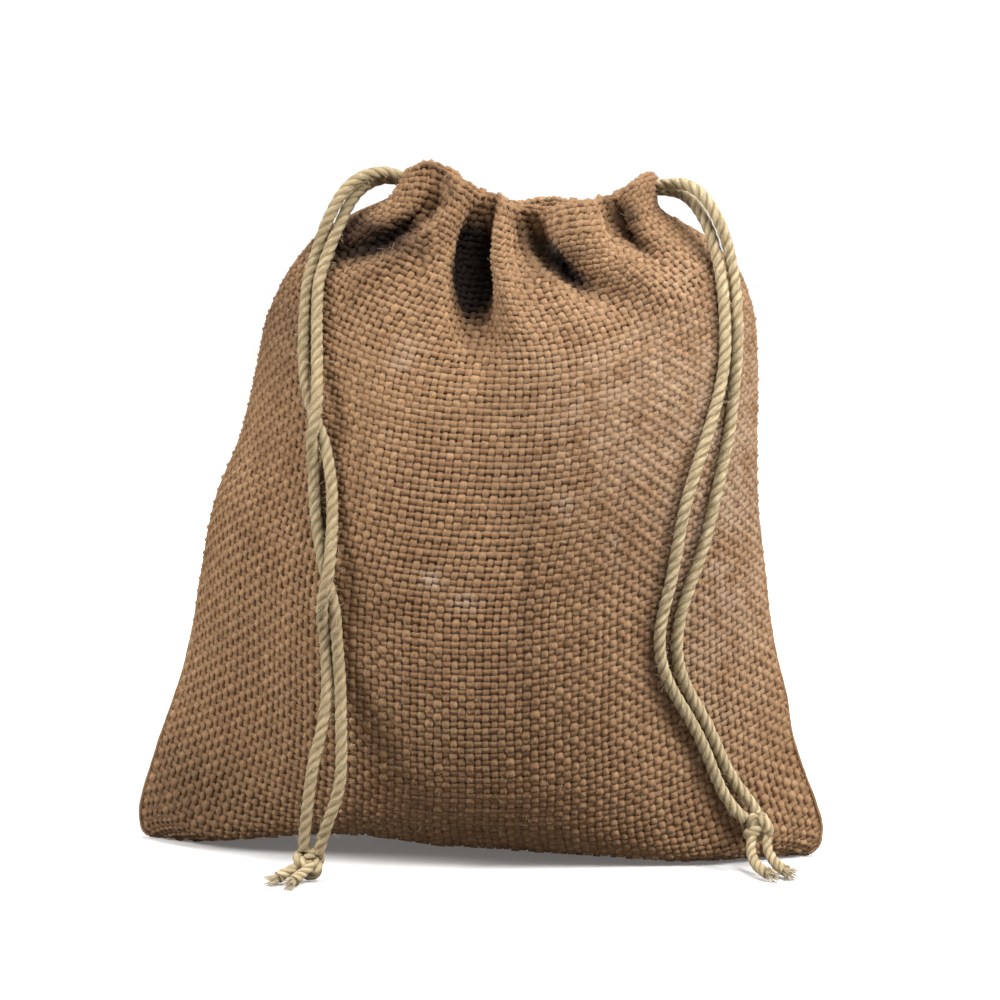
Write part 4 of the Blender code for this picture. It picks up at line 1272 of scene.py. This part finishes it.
def weave_piece(name, lines, tree, material):
    piece = grow(
        name, line_mesh(name, lines), tree, Sides=YARN_SIDES, Flatness=YARN_DEPTH, Material=material
    )
    lay_out(piece, YARN_SIDES)
    drop_facts(piece)
    return piece


def cord_line(path, width, thread, closed=False):
    """A cord's line as the twine tree reads it."""
    path = np.asarray(path, float)
    return thread_line(path, (0.0, 0.0, 1.0), width, thread, run_along(path), 0.0, 0.0, closed)


def settle_cords(tree):
    """The four strands' middle lines, as they lie on the cloth, cut where their knot is."""
    settled = {}
    for (name_a, route_a, name_b, route_b), knot in zip(CORD_PAIRS, (LEFT_KNOT, RIGHT_KNOT)):
        first, second = (even_curve(leave_hem(route, tree), CORD_STEP) for route in (route_a, route_b))
        rest_on_cloth(first, second, tree)
        for name, line in ((name_a, first), (name_b, second)):
            line = even_curve(np.concatenate([line[:-2:3], line[-1:]]), TWINE_STEP)
            near = np.linalg.norm(line - np.array(knot), axis=1) < KNOT_RADIUS - 0.4
            last = int(np.argmax(near)) if near.any() else len(line)
            line = line[:last]
            into = line[0] - unit(line[2] - line[0]) * np.array([[2.4], [1.6], [0.8]])
            settled[name] = np.concatenate([into, line])
    return settled


def twine_piece(name, lines, tree, material, lay, rows_each):
    """Cord grown along these lines; it carries how far out each point of a ply stands."""
    piece = grow(
        f"{name}_twine", line_mesh(name, lines), tree,
        Sides=TWINE_SIDES, Lay=lay * MM, Material=material,
    )
    side = values_of(piece.data, "side")
    lift = np.abs(np.cos(side / TWINE_SIDES * 3 * math.pi)) ** PLY_ROUNDNESS
    piece.data.attributes["lift"].data.foreach_set("value", lift.astype(np.float32))
    lay_out(piece, TWINE_SIDES, rows_each)
    drop_facts(piece)
    return piece


def fuzz_ground(piece):
    """A copy of a piece's mesh for its fuzz to stand on."""
    ground = piece.data.copy()
    ground.materials.clear()
    return ground


def knot_path(centre, size, tilt):
    """A pulled-tight overhand knot's loop around this point."""
    t = np.linspace(0, 2 * math.pi, 90, endpoint=False)
    loop = np.stack(
        [np.sin(t) + 2 * np.sin(2 * t), np.cos(t) - 2 * np.cos(2 * t), -1.25 * np.sin(3 * t)], axis=1
    )
    loop = loop / 3.0 * size
    about_x, about_y, about_z = (Matrix.Rotation(a, 3, axis) for a, axis in zip(tilt, "XYZ"))
    turn = np.array(about_x @ about_y @ about_z)
    return loop @ turn.T + np.array(centre)


def frayed(ends):
    """Loose fibres that splay from a cord's cut ends."""
    own = np.random.default_rng(FRAY_SEED)
    lines = []
    for point, heading in ends:
        heading = unit(np.asarray(heading, float))
        across = unit(np.cross(heading, (0.2, 0.1, 1.0)))
        up = np.cross(heading, across)
        for _fibre in range(FRAY_FIBRES):
            angle = own.uniform(0, 2 * math.pi)
            out = own.uniform(0, 1) ** 0.6
            side = math.cos(angle) * across + math.sin(angle) * up
            length = own.uniform(1.2, 3.8)
            t = np.linspace(0, 1, 6)[:, None]
            droop = own.uniform(-0.5, 0.4)
            path = (
                point + side * out * 1.05 - heading * 2.0
                + heading * (t * (length + 2.0))
                + side * (t ** 2 * own.uniform(0.1, 1.3))
                + np.array([0, 0, 1.0]) * (t ** 2) * droop
            )
            path[:, 2] = np.maximum(path[:, 2], 0.12)
            lines.append(cord_line(path, own.uniform(0.05, 0.09), own.uniform(0, 50)))
    return lines


def sack_tree():
    """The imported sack's surface in mm, to lay the cords against."""
    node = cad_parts["sack"]
    corners = [v.co / MM for v in node.data.vertices]
    return BVHTree.FromPolygons(corners, [tuple(f.vertices) for f in node.data.polygons])


def make_cords(cord, fuzz, twine, loose):
    """The four strands of the drawcord, each with its middle line and its hairs."""
    cords = {}
    for number, (name, line) in enumerate(settle_cords(sack_tree()).items()):
        radius = TWINE_FULLNESS * CORD_DIAMETER / 2
        lines = [cord_line(line, radius, STRAND_NUMBERS * number)]
        piece = twine_piece(name, lines, cord, twine, CORD_LAY, 8)
        hairs = grow(
            f"{name}_hairs", fuzz_ground(piece), fuzz,
            Density=210000.0, Length=2.0 * MM, Thickness=0.028 * MM, Lean=1.35, Material=loose,
        )
        for made in (piece, hairs):
            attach(made, "root")
        cords[name] = (piece, line, hairs)
    return cords


def make_knots(cord, yarn, twine, loose):
    """The two knots, each with its tails and the fray at their ends."""
    knots = {}
    for name, centre, tails, tilt in KNOTS:
        lines = [cord_line(knot_path(centre, KNOT_SIZE, tilt), KNOT_TWINE, KNOT_THREADS, True)]
        ends = []
        for number, tail in enumerate(tails):
            path = even_curve(np.concatenate([[centre], tail]), TWINE_STEP)
            share = np.linspace(0, 1, len(path))
            lines.append(cord_line(path, TAIL_TWINE + TAIL_WIDENS * share ** 2, TAIL_THREADS + number))
            ends.append((path[-1], path[-1] - path[-4]))
        piece = twine_piece(name, lines, cord, twine, KNOT_LAY, 2)
        fray = grow(
            f"{name}_fray", line_mesh(f"{name}_fray", frayed(ends)), yarn,
            Sides=3, Flatness=1.0, Material=loose,
        )
        drop_facts(fray)
        for made in (piece, fray):
            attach(made, "root")
        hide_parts(name)
        knots[name] = (piece, fray)
    return knots


def make_cloth(yarn, fuzz, burlap, between, loose):
    """The sack: its matted back, the threads up and around it, and its fuzz."""
    core = make_core(between)
    rows = list(range(1, HEM_END + 1, 2))
    low_rows, high_rows = [r for r in rows if r < LOW_ROWS], [r for r in rows if r >= LOW_ROWS]
    weave = [
        weave_piece("sack_threads_up_front", warp_lines("front") + seam_lines(), yarn, burlap),
        weave_piece("sack_threads_up_back", warp_lines("back"), yarn, burlap),
        weave_piece("sack_threads_around_low", weft_lines(low_rows), yarn, burlap),
        weave_piece("sack_threads_around_high", weft_lines(high_rows), yarn, burlap),
    ]
    cloth_fuzz = grow(
        "sack_fuzz", plain_mesh("fuzz_ground", *skin(0.5)), fuzz,
        Density=56000.0, Length=2.7 * MM, Thickness=0.03 * MM, Material=loose,
    )
    for piece in (core, *weave, cloth_fuzz):
        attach(piece, "root")
    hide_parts("sack")


def make_everything():
    mottle, streaks = mottle_group(), fibre_group()
    shade_and_tone = smudge_group("dark_tone_and_painted_shade", DARK_TONE_AND_PAINTED_SHADE)
    paler_places = smudge_group("pale_smudges", PALE_SMUDGES)
    burlap = burlap_material(mottle, streaks, shade_and_tone, paler_places)
    between = core_material(mottle)
    twine = twine_material(mottle, streaks)
    pale = fibre_material("loose_jute_fibre", mottle, LOOSE_DARK, LOOSE_LIGHT)
    cord_pale = fibre_material("loose_cord_fibre", mottle, CORD_LOOSE_DARK, CORD_LOOSE_LIGHT)
    yarn, cord, fuzz = yarn_tree(), twine_tree(), fuzz_tree()

    cords = make_cords(cord, fuzz, twine, cord_pale)
    knots = make_knots(cord, yarn, twine, cord_pale)
    make_cloth(yarn, fuzz, burlap, between, pale)
    for name, (piece, line, hairs) in cords.items():
        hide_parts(name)


make_everything()


# ---------------------------------------------------------------- floor and light
FLOOR_GLOW_FROM, FLOOR_GLOW_TO = 0.16, 0.60      # metres from the sack
FLOOR_REACH = 6
ROOM_LIGHT, ROOM_SEEN = 0.36, 1.05
WHITE = (1.0, 1.0, 1.0, 1.0)
LIGHT_AIM = (0.0, 0.0, 0.09)
# Columns: name, place, width and power.
LIGHTS = (
    ("key", (0.42, -0.52, 0.95), 0.40, 11.5),
    ("top", (0.02, 0.10, 1.15), 0.55, 11.0),
    ("left", (-0.90, -0.38, 0.50), 0.45, 15.0),
    ("right", (0.95, -0.30, 0.60), 0.40, 16.0),
)


def show_camera(tree, others, seen, last):
    """Gives the camera's own rays one shader and all other light another."""
    rays = add(tree, "ShaderNodeLightPath").outputs["Is Camera Ray"]
    both = out(tree, "ShaderNodeMixShader", {0: rays, 1: others, 2: seen})
    wire(tree, both, tree.nodes[last].inputs["Surface"])


def floor_material():
    """White paper: it takes the sack's shadow and is lit evenly to its far edge."""
    material, tree, shader = new_material("pale_floor", 0.9)
    away = add(tree, "ShaderNodeVectorMath", {0: object_place(tree)}, operation="LENGTH")
    shader["Base Color"].default_value = (0.60, 0.59, 0.585, 1.0)
    shader["Emission Color"].default_value = (1.0, 0.93, 0.89, 1.0)
    glow = mapped(tree, away.outputs["Value"], FLOOR_GLOW_FROM, FLOOR_GLOW_TO, 0.13, 0.9)
    wire(tree, glow, shader["Emission Strength"])
    dim = out(tree, "ShaderNodeBsdfDiffuse", {"Color": (0.22, 0.21, 0.20, 1.0)})
    show_camera(tree, dim, tree.nodes["Principled BSDF"].outputs[0], "Material Output")
    return material


def make_floor():
    mesh = bpy.data.meshes.new("floor")
    corners = [(x * FLOOR_REACH, y * FLOOR_REACH, 0) for x, y in ((-1, -1), (1, -1), (1, 1), (-1, 1))]
    mesh.from_pydata(corners, [], [(0, 1, 2, 3)])
    mesh.materials.append(floor_material())
    put("floor", mesh)


def make_light(name, place, size, power):
    lamp = bpy.data.lights.new(name, "AREA")
    lamp.shape = "DISK"
    lamp.size = size
    lamp.energy = power
    holder = put(name, lamp)
    holder.location = place
    holder.rotation_euler = (Vector(LIGHT_AIM) - Vector(place)).to_track_quat("-Z", "Y").to_euler()


def make_world():
    """An even white room, brighter to the eye than as a lamp."""
    world = bpy.data.worlds.new("studio")
    world.use_nodes = True
    tree = world.node_tree
    lamp = tree.nodes["Background"]
    lamp.inputs["Color"].default_value = WHITE
    lamp.inputs["Strength"].default_value = ROOM_LIGHT
    seen = out(tree, "ShaderNodeBackground", {"Color": WHITE, "Strength": ROOM_SEEN})
    show_camera(tree, lamp.outputs[0], seen, "World Output")
    bpy.context.scene.world = world


make_floor()
make_world()
for light in LIGHTS:
    make_light(*light)
bpy.context.scene.view_settings.view_transform = "Standard"
